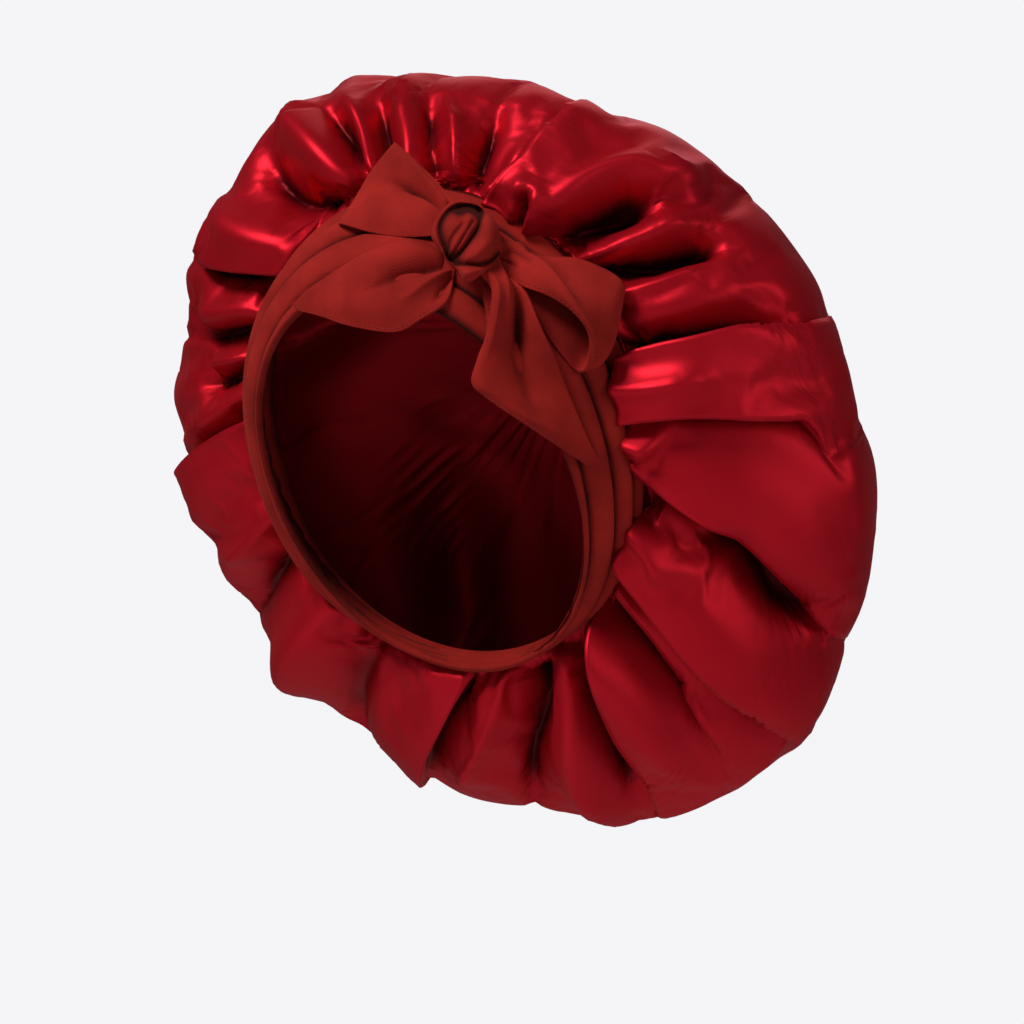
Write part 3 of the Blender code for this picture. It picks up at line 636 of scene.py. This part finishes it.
def crown_points(degrees, share):
    """The crown's points with their laps, folds, ripples and gathers, and the plain crown's normals."""
    rng = np.random.default_rng(CROWN_SEED)
    base = crown_base(degrees, share)
    normal = grid_normals(base, True)
    normal *= np.sign(((base - base.mean((0, 1))) * normal).sum(-1).mean())
    flat, n = base.reshape(-1, 3), normal.reshape(-1, 3)
    shift = np.zeros_like(flat)
    for side, height, width, line in LAPS:
        shift += lap_shift(flat, n, side, height, width, line)
    for kind, height, width, line in FOLDS:
        shift += fold_shift(flat, n, kind, height, width, line)
    shift = shift.reshape(base.shape) * smooth(0.0, 0.05, share)[..., None]
    turn = np.arange(degrees.shape[0])[:, None] / degrees.shape[0] + 0 * share
    ripple = np.zeros_like(share)
    for _ in range(RIPPLES):
        count = rng.integers(*RIPPLE_COUNT)
        lean = rng.uniform(-RIPPLE_LEAN, RIPPLE_LEAN)
        phase, where = rng.uniform(0, 2 * pi, 2)
        patch = 0.5 + 0.5 * np.sin(2 * pi * (2 * turn + 1.3 * share) + where)
        ripple += patch * np.cos(2 * pi * (count * turn + lean * share) + phase)
    ripple *= RIPPLE_HEIGHT * smooth(0.03, 0.2, share) * (1 - smooth(0.45, 0.68, share))
    return base + shift + (ripple + gathers(turn, share, rng))[..., None] * normal, normal


def ring_mesh(name, rings, painted_shade, tip=None):
    """A tube through rings of points, made by extruding its first loop, with a UV map in metres."""
    bm = bmesh.new()
    uv = bm.loops.layers.uv.new("cloth")
    row_of = bm.verts.layers.float.new("row")
    # Per-vertex painted shade for the material: dark where the cloth lies in a fold
    painted_shade_of = bm.verts.layers.float.new("painted_shade")
    bmesh.ops.create_circle(bm, cap_ends=False, segments=rings.shape[1], radius=1)
    edges = bm.edges[:]
    loop = sorted(bm.verts, key=lambda v: v.index)
    rows = [loop]
    for _ in rings[1:]:
        made = bmesh.ops.extrude_edge_only(bm, edges=edges)["geom"]
        new = {item for item in made if isinstance(item, bmesh.types.BMVert)}
        loop = [next(e.other_vert(v) for e in v.link_edges if e.other_vert(v) in new) for v in loop]
        rows.append(loop)
        edges = [e for e in made if isinstance(e, bmesh.types.BMEdge) and new.issuperset(e.verts)]
    for row, ring in zip(rows, rings):
        for vertex, point in zip(row, ring):
            vertex.co = point
    columns = rings.shape[1]
    around = np.linalg.norm(np.roll(rings, -1, 1) - rings, axis=2).mean(0).cumsum()
    outward = np.linalg.norm(np.diff(rings, axis=0), axis=2).mean(1).cumsum()
    if tip is not None:
        made = bmesh.ops.extrude_edge_only(bm, edges=edges)["geom"]
        last = [item for item in made if isinstance(item, bmesh.types.BMVert)]
        bmesh.ops.pointmerge(bm, verts=last, merge_co=tip)
    order = {v: index for index, v in enumerate(v for row in rows for v in row)}
    for vertex in bm.verts:
        vertex.index = order.get(vertex, len(order))
    bm.verts.sort()
    bm.verts.index_update()
    bm.edges.sort(key=corner_order)
    bm.faces.sort(key=corner_order)
    length = np.concatenate([[0], outward, [outward[-1]]])
    width = np.concatenate([[0], around])
    for face in bm.faces:
        spots = [divmod(l.vert.index, columns) for l in face.loops]
        known = [c for r, c in spots if r < len(rows)]
        wraps = max(known) - min(known) > columns // 2
        for l, (r, c) in zip(face.loops, spots):
            c = c if r < len(rows) else min(known)
            c = c + columns if wraps and c < columns // 2 else c
            l[uv].uv = (width[min(c, columns)], length[r])
    bmesh.ops.recalc_face_normals(bm, faces=bm.faces[:])
    for vertex in bm.verts:
        r, c = divmod(vertex.index, columns)
        vertex[row_of] = r
        vertex[painted_shade_of] = painted_shade[r, c] if r < len(rows) else 0.0
    return finish_mesh(name, bm)


def corner_order(item):
    """A number that puts edges or faces in one order each run, from the indices of their corners."""
    corners = [vertex.index for vertex in item.verts]
    return min(corners) * 1e6 + sum(corners)


def sheet_mesh(name, points, painted_shade):
    """An open cloth grid through points, with a UV map in metres."""
    along, across = points.shape[:2]
    bm = bmesh.new()
    uv = bm.loops.layers.uv.new("cloth")
    # Per-vertex painted shade for the material: dark where the cloth lies in a fold
    painted_shade_of = bm.verts.layers.float.new("painted_shade")
    bmesh.ops.create_grid(bm, x_segments=along - 1, y_segments=across - 1, size=1)
    length = np.concatenate([[0], np.linalg.norm(np.diff(points, axis=0), axis=2).mean(1).cumsum()])
    width = np.concatenate([[0], np.linalg.norm(np.diff(points, axis=1), axis=2).mean(0).cumsum()])
    place = {}
    for vertex in bm.verts:
        i = round((vertex.co.x + 1) / 2 * (along - 1))
        j = round((vertex.co.y + 1) / 2 * (across - 1))
        place[vertex] = (i, j)
        vertex.co = points[i, j]
        vertex[painted_shade_of] = painted_shade[i, j]
    for face in bm.faces:
        for l in face.loops:
            i, j = place[l.vert]
            l[uv].uv = (length[i], width[j])
    return finish_mesh(name, bm)


def finish_mesh(name, bm):
    """Makes a smooth shaded object of a bmesh."""
    mesh = bpy.data.meshes.new(name)
    bm.to_mesh(mesh)
    bm.free()
    mesh.shade_smooth()
    obj = bpy.data.objects.new(name, mesh)
    bpy.context.scene.collection.objects.link(obj)
    return obj


def turn_out(obj, middle):
    """Turns a surface so that its faces look away from a middle point."""
    away = sum((f.center - middle).dot(f.normal) * f.area for f in obj.data.polygons)
    if away < 0:
        obj.data.flip_normals()


def thicken(obj, cloth):
    """Gives an open sheet its wall, inward."""
    solidify = obj.modifiers.new("cloth", "SOLIDIFY")
    solidify.thickness = cloth
    solidify.offset = -1


def apply_all(obj):
    """Fixes an object's modifiers in its mesh."""
    bpy.context.view_layer.update()
    graph = bpy.context.evaluated_depsgraph_get()
    made = bpy.data.meshes.new_from_object(obj.evaluated_get(graph), depsgraph=graph)
    obj.modifiers.clear()
    flat = obj.data
    obj.data = made
    bpy.data.meshes.remove(flat)
    made.name = obj.name


def settle_cloth(obj):
    """Lets the crown settle as cloth cut fuller round than its shape, sewn fast along its first rows."""
    rows = np.zeros(len(obj.data.vertices))
    obj.data.attributes["row"].data.foreach_get("value", rows)
    sewn = obj.vertex_groups.new(name="sewn")
    for index, row in enumerate(rows):
        sewn.add([index], 1.0 if row < 1.5 else SETTLE_HOLD, "REPLACE")
    cloth = obj.modifiers.new("settle", "CLOTH")
    settings = cloth.settings
    settings.quality = SETTLE_QUALITY
    settings.mass = SETTLE_MASS
    settings.air_damping = SETTLE_AIR
    settings.tension_stiffness = SETTLE_STRETCH
    settings.compression_stiffness = SETTLE_STRETCH
    settings.shear_stiffness = SETTLE_SHEAR
    settings.bending_stiffness = SETTLE_BEND
    settings.tension_damping = SETTLE_DAMPING
    settings.compression_damping = SETTLE_DAMPING
    settings.shear_damping = SETTLE_DAMPING
    settings.vertex_group_mass = "sewn"
    settings.pin_stiffness = 1.0
    cut = obj.shape_key_add(name="cut")
    worn = obj.shape_key_add(name="worn")
    _, inward = frame_axes(CROWN_TILT)
    axis = Vector(inward)
    for point, row in zip(cut.data, rows):
        out = point.co - point.co.dot(axis) * axis
        taper = 1 - smooth(CROWN_FRONT_ROWS, rows.max(), row)
        point.co = point.co + SETTLE_FULLNESS * float(taper) * out.normalized()
    settings.use_pressure = True
    settings.uniform_pressure_force = SETTLE_PUFF
    settings.effector_weights.gravity = 0.0
    cloth.collision_settings.use_collision = False
    cloth.collision_settings.use_self_collision = False
    cloth.point_cache.frame_start = 1
    cloth.point_cache.frame_end = SETTLE_FRAMES
    scene = bpy.context.scene
    for frame, value in ((1, 0.0), (SETTLE_FRAMES // 2, 1.0)):
        worn.value = value
        worn.keyframe_insert("value", frame=frame)
    for frame in range(1, SETTLE_FRAMES + 1):
        scene.frame_set(frame)
    closing = obj.data.shape_keys.animation_data.action
    apply_all(obj)
    bpy.data.actions.remove(closing)
    scene.frame_set(1)
    obj.vertex_groups.clear()


def make_crown():
    """The satin crown: drawn, settled as cloth and given its wall."""
    front = 0.5 * np.linspace(0, 1, CROWN_FRONT_ROWS) ** FRONT_SPACING
    back = 0.5 + BACK_SHARE * np.linspace(0, 1, CROWN_BACK_ROWS + 1)[1:] ** BACK_SPACING
    degrees, share = crown_grid(CROWN_COLUMNS, np.concatenate([front, back]))
    points, normal = crown_points(degrees, share)
    # Painted shade in the crown's folds and laps, kept on the mesh for the satin's colour
    painted_shade = painted_fold_shade(points, normal, True, CROWN_PAINTED_SHADE_DEPTH)
    _, inward = frame_axes(CROWN_TILT)
    pole = Vector((CROWN_FRONT_DEPTH + CROWN_BACK_DEPTH) * inward)
    obj = ring_mesh("satin_crown", points.transpose(1, 0, 2), painted_shade.T, pole)
    turn_out(obj, pole / 2)
    settle_cloth(obj)
    thicken(obj, CROWN_CLOTH)
    return obj


def band_points(degrees, across):
    """Outer face of the band and its way out, across 0 at the seam and 1 at the face edge."""
    start, end = seam(degrees), face_edge(degrees)
    line = start + across[..., None] * (end - start)
    width = np.linalg.norm(end - start, axis=-1)
    way = (end - start) / width[..., None]
    out = line - SEAM_HALF_LENGTH * np.array(BAND_MIDDLE)
    out -= (out * way).sum(-1, keepdims=True) * way
    out /= np.linalg.norm(out, axis=-1, keepdims=True)
    narrow, full = BAND_NARROW * SEAM_HALF_LENGTH, BAND_FULL * SEAM_HALF_LENGTH
    lift = BAND_BULGE * np.sin(np.pi * across)
    phase = PLEATS * across + PLEAT_SWAY * np.sin(np.radians(degrees * 2 + PLEAT_SWAY_TURN))
    pleat = PLEAT_DEPTH * (np.abs(np.sin(np.pi * phase)) ** PLEAT_ROUNDING - PLEAT_LEVEL)
    pleat *= smooth(0.0, 0.08, across) * (1 - smooth(0.9, 1.0, across))
    return line + ((lift + pleat) * smooth(narrow, full, width))[..., None] * out, out


def make_band():
    """The pleated jersey band round the face."""
    angles = np.arange(BAND_COLUMNS) * 360.0 / BAND_COLUMNS
    degrees, across = np.meshgrid(angles, np.linspace(0, 1, BAND_ROWS), indexing="ij")
    points, out = band_points(degrees, across)
    # Painted shade in the band's pleats, kept on the mesh for the jersey's colour
    painted_shade = painted_fold_shade(points, out, True, BAND_PAINTED_SHADE_DEPTH)
    obj = ring_mesh("jersey_band", points.transpose(1, 0, 2), painted_shade.T)
    turn_out(obj, Vector((0, 0, 0)))
    thicken(obj, BAND_CLOTH)
    return obj


def bow_axes():
    """Across, up and out of the bow."""
    a, e = BOW_TURN, BOW_TIP
    right = np.array([cos(a), sin(a), 0])
    up = np.array([-sin(e) * sin(a), sin(e) * cos(a), cos(e)])
    out = np.array([sin(a) * cos(e), -cos(a) * cos(e), sin(e)])
    return right, up, out


def bow_place(points):
    """Row positions of points given across, up and out of the knot, in metres."""
    right, up, out = bow_axes()
    p = np.asarray(points, float)
    foot = (1 - BOW_ACROSS) * seam(BOW_ANGLE) + BOW_ACROSS * face_edge(BOW_ANGLE)
    lift = BAND_BULGE + PLEAT_RISE + KNOT_BACK + KNOT_SINK + BOW_STANDOFF
    return foot + lift * out + p[..., :1] * right + p[..., 1:2] * up + p[..., 2:] * out


def make_bow_sheet(name, stations, looped, folds, along, across, cloth):
    """A cloth strip through its stations, with its folds pressed in, its face out of the bow."""
    part = LOOP_REACH / LOOP_PARTS if looped else TAIL_REACH / TAIL_PARTS
    table = np.array(stations, float)
    held = [0, -1] if looped else [0]
    inside = table[held] * KNOT_REACH / KNOT_PARTS
    table *= part
    table[held] = inside
    lengthwise = np.stack([spline(table[:, j], along) for j in range(table.shape[1])], axis=1)
    local = np.stack([spline(row, across) for row in lengthwise])
    normal = grid_normals(local, False)
    if normal[along // 8, across // 2, 2] < 0:
        normal = -normal
    lift = np.zeros(local.shape[:2])
    for kind, height, width, line in folds:
        track = spline(np.array(line, float) * part, 60)
        gap = np.hypot(local[..., 0, None] - track[:, 0], local[..., 1, None] - track[:, 1])
        fade = 1 - smooth(BOW_FOLD_FADE * len(track), len(track) - 1, gap.argmin(-1))
        front = smooth(-0.2, 0.3, normal[..., 2]) if looped else 1.0
        lift += height * profile(kind, gap.min(-1), width * part) * fade * front
    local = local + lift[..., None] * normal
    points = bow_place(local)
    # The sheet carries a painted shade in its folds for the jersey's colour
    obj = sheet_mesh(name, points, painted_fold_shade(local, normal, False, BOW_PAINTED_SHADE_DEPTH))
    out = Vector(bow_axes()[2])
    root = Vector(points[along // 8, across // 2])
    nearest = min(obj.data.polygons, key=lambda face: (face.center - root).length)
    if nearest.normal.dot(out) < 0:
        obj.data.flip_normals()
    thicken(obj, cloth)
    return obj, points


def edge_line(points, last, inset):
    """Points that run beside an edge of a sheet, inset from it, and the way out of the cloth there."""
    normal = grid_normals(points, False)
    if last:
        points, normal = points[:, ::-1], normal[:, ::-1]
    reach = np.linalg.norm(np.diff(points, axis=1), axis=2).cumsum(1)
    reach = np.hstack([np.zeros((len(points), 1)), reach])
    line, way = [], []
    for row, out, length in zip(points, normal, reach):
        line.append([np.interp(inset, length, row[:, k]) for k in range(3)])
        way.append([np.interp(inset, length, out[:, k]) for k in range(3)])
    return np.array(line), np.array(way)


def stitching(name, points, last):
    """A row of thread stitches beside a long edge of a bow sheet, all one mesh on its outer face."""
    bm = bmesh.new()
    bm.loops.layers.uv.new("cloth")
    out = bow_axes()[2]
    root_normal = grid_normals(points, False)[len(points) // 8, points.shape[1] // 2]
    ahead = 1 if root_normal.dot(out) > 0 else -1
    line, way = edge_line(points, last, HEM_INSET)
    length = np.concatenate([[0], np.linalg.norm(np.diff(line, axis=0), axis=1).cumsum()])
    for at in np.arange(HEM_START, length[-1] - STITCH_PITCH, STITCH_PITCH):
        here, there = (
            Vector([np.interp(spot, length, line[:, k]) for k in range(3)])
            for spot in (at, at + STITCH_SHARE * STITCH_PITCH)
        )
        up = ahead * Vector([np.interp(at, length, way[:, k]) for k in range(3)]).normalized()
        along = (there - here).normalized()
        side = up.cross(along).normalized()
        turn = Matrix((along, side, along.cross(side))).transposed().to_4x4()
        size = Matrix.Diagonal(((there - here).length / 2, THREAD / 2, THREAD / 2, 1))
        place = Matrix.Translation((here + there) / 2 + THREAD_RISE * THREAD * up)
        bmesh.ops.create_uvsphere(bm, u_segments=6, v_segments=4, radius=1, matrix=place @ turn @ size)
    return finish_mesh(name, bm)


def make_knot():
    """The wrapped knot, leaning with the band under it."""
    bm = bmesh.new()
    # Per-vertex painted shade of the knot: dark in the creases of its face
    painted_shade_of = bm.verts.layers.float.new("painted_shade")
    bmesh.ops.create_uvsphere(bm, u_segments=KNOT_GRID[0], v_segments=KNOT_GRID[1], radius=1)
    unit = np.array([vertex.co for vertex in bm.verts])
    turn = np.degrees(np.arctan2(unit[:, 1], unit[:, 0]))
    flat = np.hypot(unit[:, 0], unit[:, 1]) ** KNOT_FLATNESS
    reach = KNOT_REACH * round_table(KNOT_OUTLINE, turn) * flat
    x, y = reach * np.cos(np.radians(turn)), reach * np.sin(np.radians(turn))
    z = np.where(unit[:, 2] > 0, KNOT_FRONT, KNOT_BACK) * unit[:, 2]
    lift = np.zeros_like(z)
    for kind, height, width, line in KNOT_FOLDS:
        track = spline(np.array(line, float) * KNOT_REACH, 60)
        gap = np.hypot(x[:, None] - track[:, 0], y[:, None] - track[:, 1]).min(-1)
        lift += KNOT_REACH * height * profile(kind, gap, KNOT_REACH * width)
    lift *= smooth(-0.05, 0.4, unit[:, 2])
    z += lift + KNOT_LEAN * y - KNOT_SINK
    # Painted shade: darker where the folds press the face in
    shade = np.clip(-lift / KNOT_PAINTED_SHADE_DEPTH, 0, 1)
    for vertex, point, dark in zip(bm.verts, bow_place(np.stack([x, y, z], axis=-1)), shade):
        vertex.co = point
        vertex[painted_shade_of] = dark
    uv = bm.loops.layers.uv.new("cloth")
    for face in bm.faces:
        for l in face.loops:
            l[uv].uv = (x[l.vert.index], y[l.vert.index])
    return finish_mesh("jersey_knot", bm)


def cloth_group():
    """Weave and tone of a cloth: a fine thread height, and a slow random change of tone, pulled toward 0 by
    painted shade deep in a fold.
    """
    tree = bpy.data.node_groups.new("cloth_surface", "ShaderNodeTree")
    for name in ("Thread", "Slub", "Weft"):
        tree.interface.new_socket(name, in_out="INPUT", socket_type="NodeSocketFloat")
    for name in ("Height", "Shade"):
        tree.interface.new_socket(name, in_out="OUTPUT", socket_type="NodeSocketFloat")
    inputs = tree.nodes.new("NodeGroupInput")
    outputs = tree.nodes.new("NodeGroupOutput")
    uv = tree.nodes.new("ShaderNodeUVMap")
    uv.uv_map = "cloth"
    place = tree.nodes.new("ShaderNodeTexCoord")
    waves = []
    for direction in ("X", "Y"):
        wave = tree.nodes.new("ShaderNodeTexWave")
        wave.bands_direction = direction
        wave.inputs["Distortion"].default_value = 1.5
        wave.inputs["Detail"].default_value = 1.0
        tree.links.new(uv.outputs["UV"], wave.inputs["Vector"])
        tree.links.new(inputs.outputs["Thread"], wave.inputs["Scale"])
        waves.append(wave)
    weft = tree.nodes.new("ShaderNodeMath")
    weft.operation = "MULTIPLY"
    tree.links.new(waves[1].outputs["Fac"], weft.inputs[0])
    tree.links.new(inputs.outputs["Weft"], weft.inputs[1])
    height = tree.nodes.new("ShaderNodeMath")
    height.operation = "ADD"
    tree.links.new(waves[0].outputs["Fac"], height.inputs[0])
    tree.links.new(weft.outputs["Value"], height.inputs[1])
    slub = tree.nodes.new("ShaderNodeTexNoise")
    slub.inputs["Detail"].default_value = 4.0
    tree.links.new(place.outputs["Object"], slub.inputs["Vector"])
    tree.links.new(inputs.outputs["Slub"], slub.inputs["Scale"])
    # Painted shade read from each mesh: 1 deep in a fold, where the tone is pulled down to the darkest
    # colour
    painted_shade = tree.nodes.new("ShaderNodeAttribute")
    painted_shade.attribute_name = "painted_shade"
    open_air = tree.nodes.new("ShaderNodeMath")
    open_air.operation = "SUBTRACT"
    open_air.inputs[0].default_value = 1.0
    tree.links.new(painted_shade.outputs["Fac"], open_air.inputs[1])
    # Shade output: random tone times the share left unshaded by the painted fold shade
    shade = tree.nodes.new("ShaderNodeMath")
    shade.operation = "MULTIPLY"
    tree.links.new(slub.outputs["Fac"], shade.inputs[0])
    tree.links.new(open_air.outputs["Value"], shade.inputs[1])
    tree.links.new(height.outputs["Value"], outputs.inputs["Height"])
    tree.links.new(shade.outputs["Value"], outputs.inputs["Shade"])
    return tree


def cloth_material(name, group, colours, roughness, thread, slub, weft, bump, **shader_values):
    """A cloth: a painted shade colour for deep in a fold and two open tones, mixed by the tone, roughness
    with it, and a thread bump.
    """
    material = bpy.data.materials.new(name)
    material.use_nodes = True
    tree = material.node_tree
    shader = tree.nodes["Principled BSDF"]
    cloth = tree.nodes.new("ShaderNodeGroup")
    cloth.node_tree = group
    cloth.inputs["Thread"].default_value = thread
    cloth.inputs["Slub"].default_value = slub
    cloth.inputs["Weft"].default_value = weft
    # The ramp's first stop is the painted shade colour for the depths of folds
    ramp = tree.nodes.new("ShaderNodeValToRGB")
    ramp.color_ramp.elements.new(SHADE_STOPS[1])
    for element, position, colour in zip(ramp.color_ramp.elements, SHADE_STOPS, colours):
        element.position = position
        element.color = (*colour, 1)
    tree.links.new(cloth.outputs["Shade"], ramp.inputs["Fac"])
    tree.links.new(ramp.outputs["Color"], shader.inputs["Base Color"])
    rough = tree.nodes.new("ShaderNodeMapRange")
    rough.inputs["To Min"].default_value = roughness[0]
    rough.inputs["To Max"].default_value = roughness[1]
    tree.links.new(cloth.outputs["Shade"], rough.inputs["Value"])
    tree.links.new(rough.outputs["Result"], shader.inputs["Roughness"])
    raised = tree.nodes.new("ShaderNodeBump")
    raised.inputs["Strength"].default_value = bump[0]
    raised.inputs["Distance"].default_value = bump[1]
    tree.links.new(cloth.outputs["Height"], raised.inputs["Height"])
    tree.links.new(raised.outputs["Normal"], shader.inputs["Normal"])
    for socket, value in shader_values.items():
        shader.inputs[socket.replace("_", " ")].default_value = value
    return material


def dress(obj, material, slot, *nodes):
    """Gives a piece its finish, its body and the solids that it stands for."""
    obj.data.materials.clear()
    obj.data.materials.append(material)
    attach(obj, "root")
    if nodes:
        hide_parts(*nodes)
    return obj


def make_stage():
    """Pale floor, pale surroundings and soft lamps. The view sees the surroundings paler than they light."""
    bm = bmesh.new()
    bmesh.ops.create_circle(bm, cap_ends=True, segments=96, radius=FLOOR_RADIUS)
    bmesh.ops.translate(bm, verts=bm.verts[:], vec=(0, 0, FLOOR_HEIGHT))
    floor = finish_mesh("floor", bm)
    material = bpy.data.materials.new("pale_floor")
    material.use_nodes = True
    shader = material.node_tree.nodes["Principled BSDF"]
    shader.inputs["Base Color"].default_value = FLOOR_COLOUR
    shader.inputs["Roughness"].default_value = 0.9
    floor.data.materials.append(material)
    world = bpy.data.worlds.new("studio")
    bpy.context.scene.world = world
    world.use_nodes = True
    tree = world.node_tree
    rays = tree.nodes.new("ShaderNodeLightPath")
    strength = tree.nodes.new("ShaderNodeMapRange")
    strength.inputs["To Min"].default_value = WORLD_LIGHT
    strength.inputs["To Max"].default_value = 1.0
    tree.links.new(rays.outputs["Is Camera Ray"], strength.inputs["Value"])
    background = tree.nodes["Background"]
    background.inputs["Color"].default_value = WORLD_COLOUR
    tree.links.new(strength.outputs["Result"], background.inputs["Strength"])
    view_side, view_up, view_out = bow_axes()
    for name, side, up, out, size, power in LAMPS:
        light = bpy.data.lights.new(name, "AREA")
        light.shape = "DISK"
        light.size = size
        light.energy = power
        lamp = bpy.data.objects.new(name, light)
        lamp.location = side * view_side + up * view_up + out * view_out
        lamp.rotation_euler = (-Vector(lamp.location)).to_track_quat("-Z", "Y").to_euler()
        bpy.context.scene.collection.objects.link(lamp)
    bpy.context.scene.view_settings.view_transform = "Standard"


def make_camera():
    """The camera at the photograph's angle, shifted so that the bonnet stands where it does there."""
    camera = bpy.data.cameras.new("photo_view")
    camera.sensor_width = SENSOR_WIDTH
    camera.lens = SENSOR_WIDTH * FOCAL_PIXELS / FRAME_PIXELS
    camera.shift_x = (FRAME_PIXELS / 2 - ORIGIN_PIXEL[0]) / FRAME_PIXELS
    camera.shift_y = (ORIGIN_PIXEL[1] - FRAME_PIXELS / 2) / FRAME_PIXELS
    obj = bpy.data.objects.new("photo_view", camera)
    a, e = VIEW_TURN, VIEW_RISE
    back = Vector((sin(a) * cos(e), -cos(a) * cos(e), sin(e)))
    obj.location = VIEW_DISTANCE * back
    obj.rotation_euler = (-back).to_track_quat("-Z", "Y").to_euler()
    bpy.context.scene.collection.objects.link(obj)
    bpy.context.scene.camera = obj


def make_materials():
    """The crown's satin, the band's and bow's jersey, and the thread of the hems."""
    surface = cloth_group()
    satin = cloth_material(
        "crimson_satin",
        surface,
        SATIN_SHADES,
        roughness=(0.40, 0.50),
        thread=1500.0,
        slub=9.0,
        weft=0.35,
        bump=(0.10, 0.0001),
        Metallic=0.62,
        Specular_IOR_Level=0.22,
        Specular_Tint=(1.0, 0.30, 0.36, 1),
    )
    jersey = cloth_material(
        "brick_jersey",
        surface,
        JERSEY_SHADES,
        roughness=(0.88, 0.98),
        thread=380.0,
        slub=45.0,
        weft=0.7,
        bump=(0.30, 0.0002),
        Specular_IOR_Level=0.08,
        Sheen_Weight=0.04,
        Sheen_Roughness=0.4,
        Sheen_Tint=(1.0, 0.20, 0.14, 1),
    )
    thread = cloth_material(
        "brick_thread",
        surface,
        THREAD_SHADES,
        roughness=(0.55, 0.7),
        thread=1800.0,
        slub=40.0,
        weft=0.2,
        bump=(0.3, 0.0001),
        Specular_IOR_Level=0.25,
    )
    return satin, jersey, thread


def main():
    for obj in list(bpy.data.objects):
        bpy.data.objects.remove(obj)
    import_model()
    make_camera()
    make_stage()
    satin, jersey, thread = make_materials()
    knot = dress(make_knot(), jersey, "jersey", "knot")
    crown = dress(make_crown(), satin, "satin", "crown")
    band = dress(make_band(), jersey, "jersey", "band")
    for node, stations, looped, folds, along, across, cloth, flat in BOW_SHEETS:
        name = f"{node}_cloth"
        sheet, points = make_bow_sheet(name, stations, looped, folds, along, across, cloth)
        dress(sheet, jersey, "jersey", node)
        if node in HEMS:
            row = stitching(f"{node}_stitching", points, HEMS[node] == "last")
            dress(row, thread, "jersey")


main()
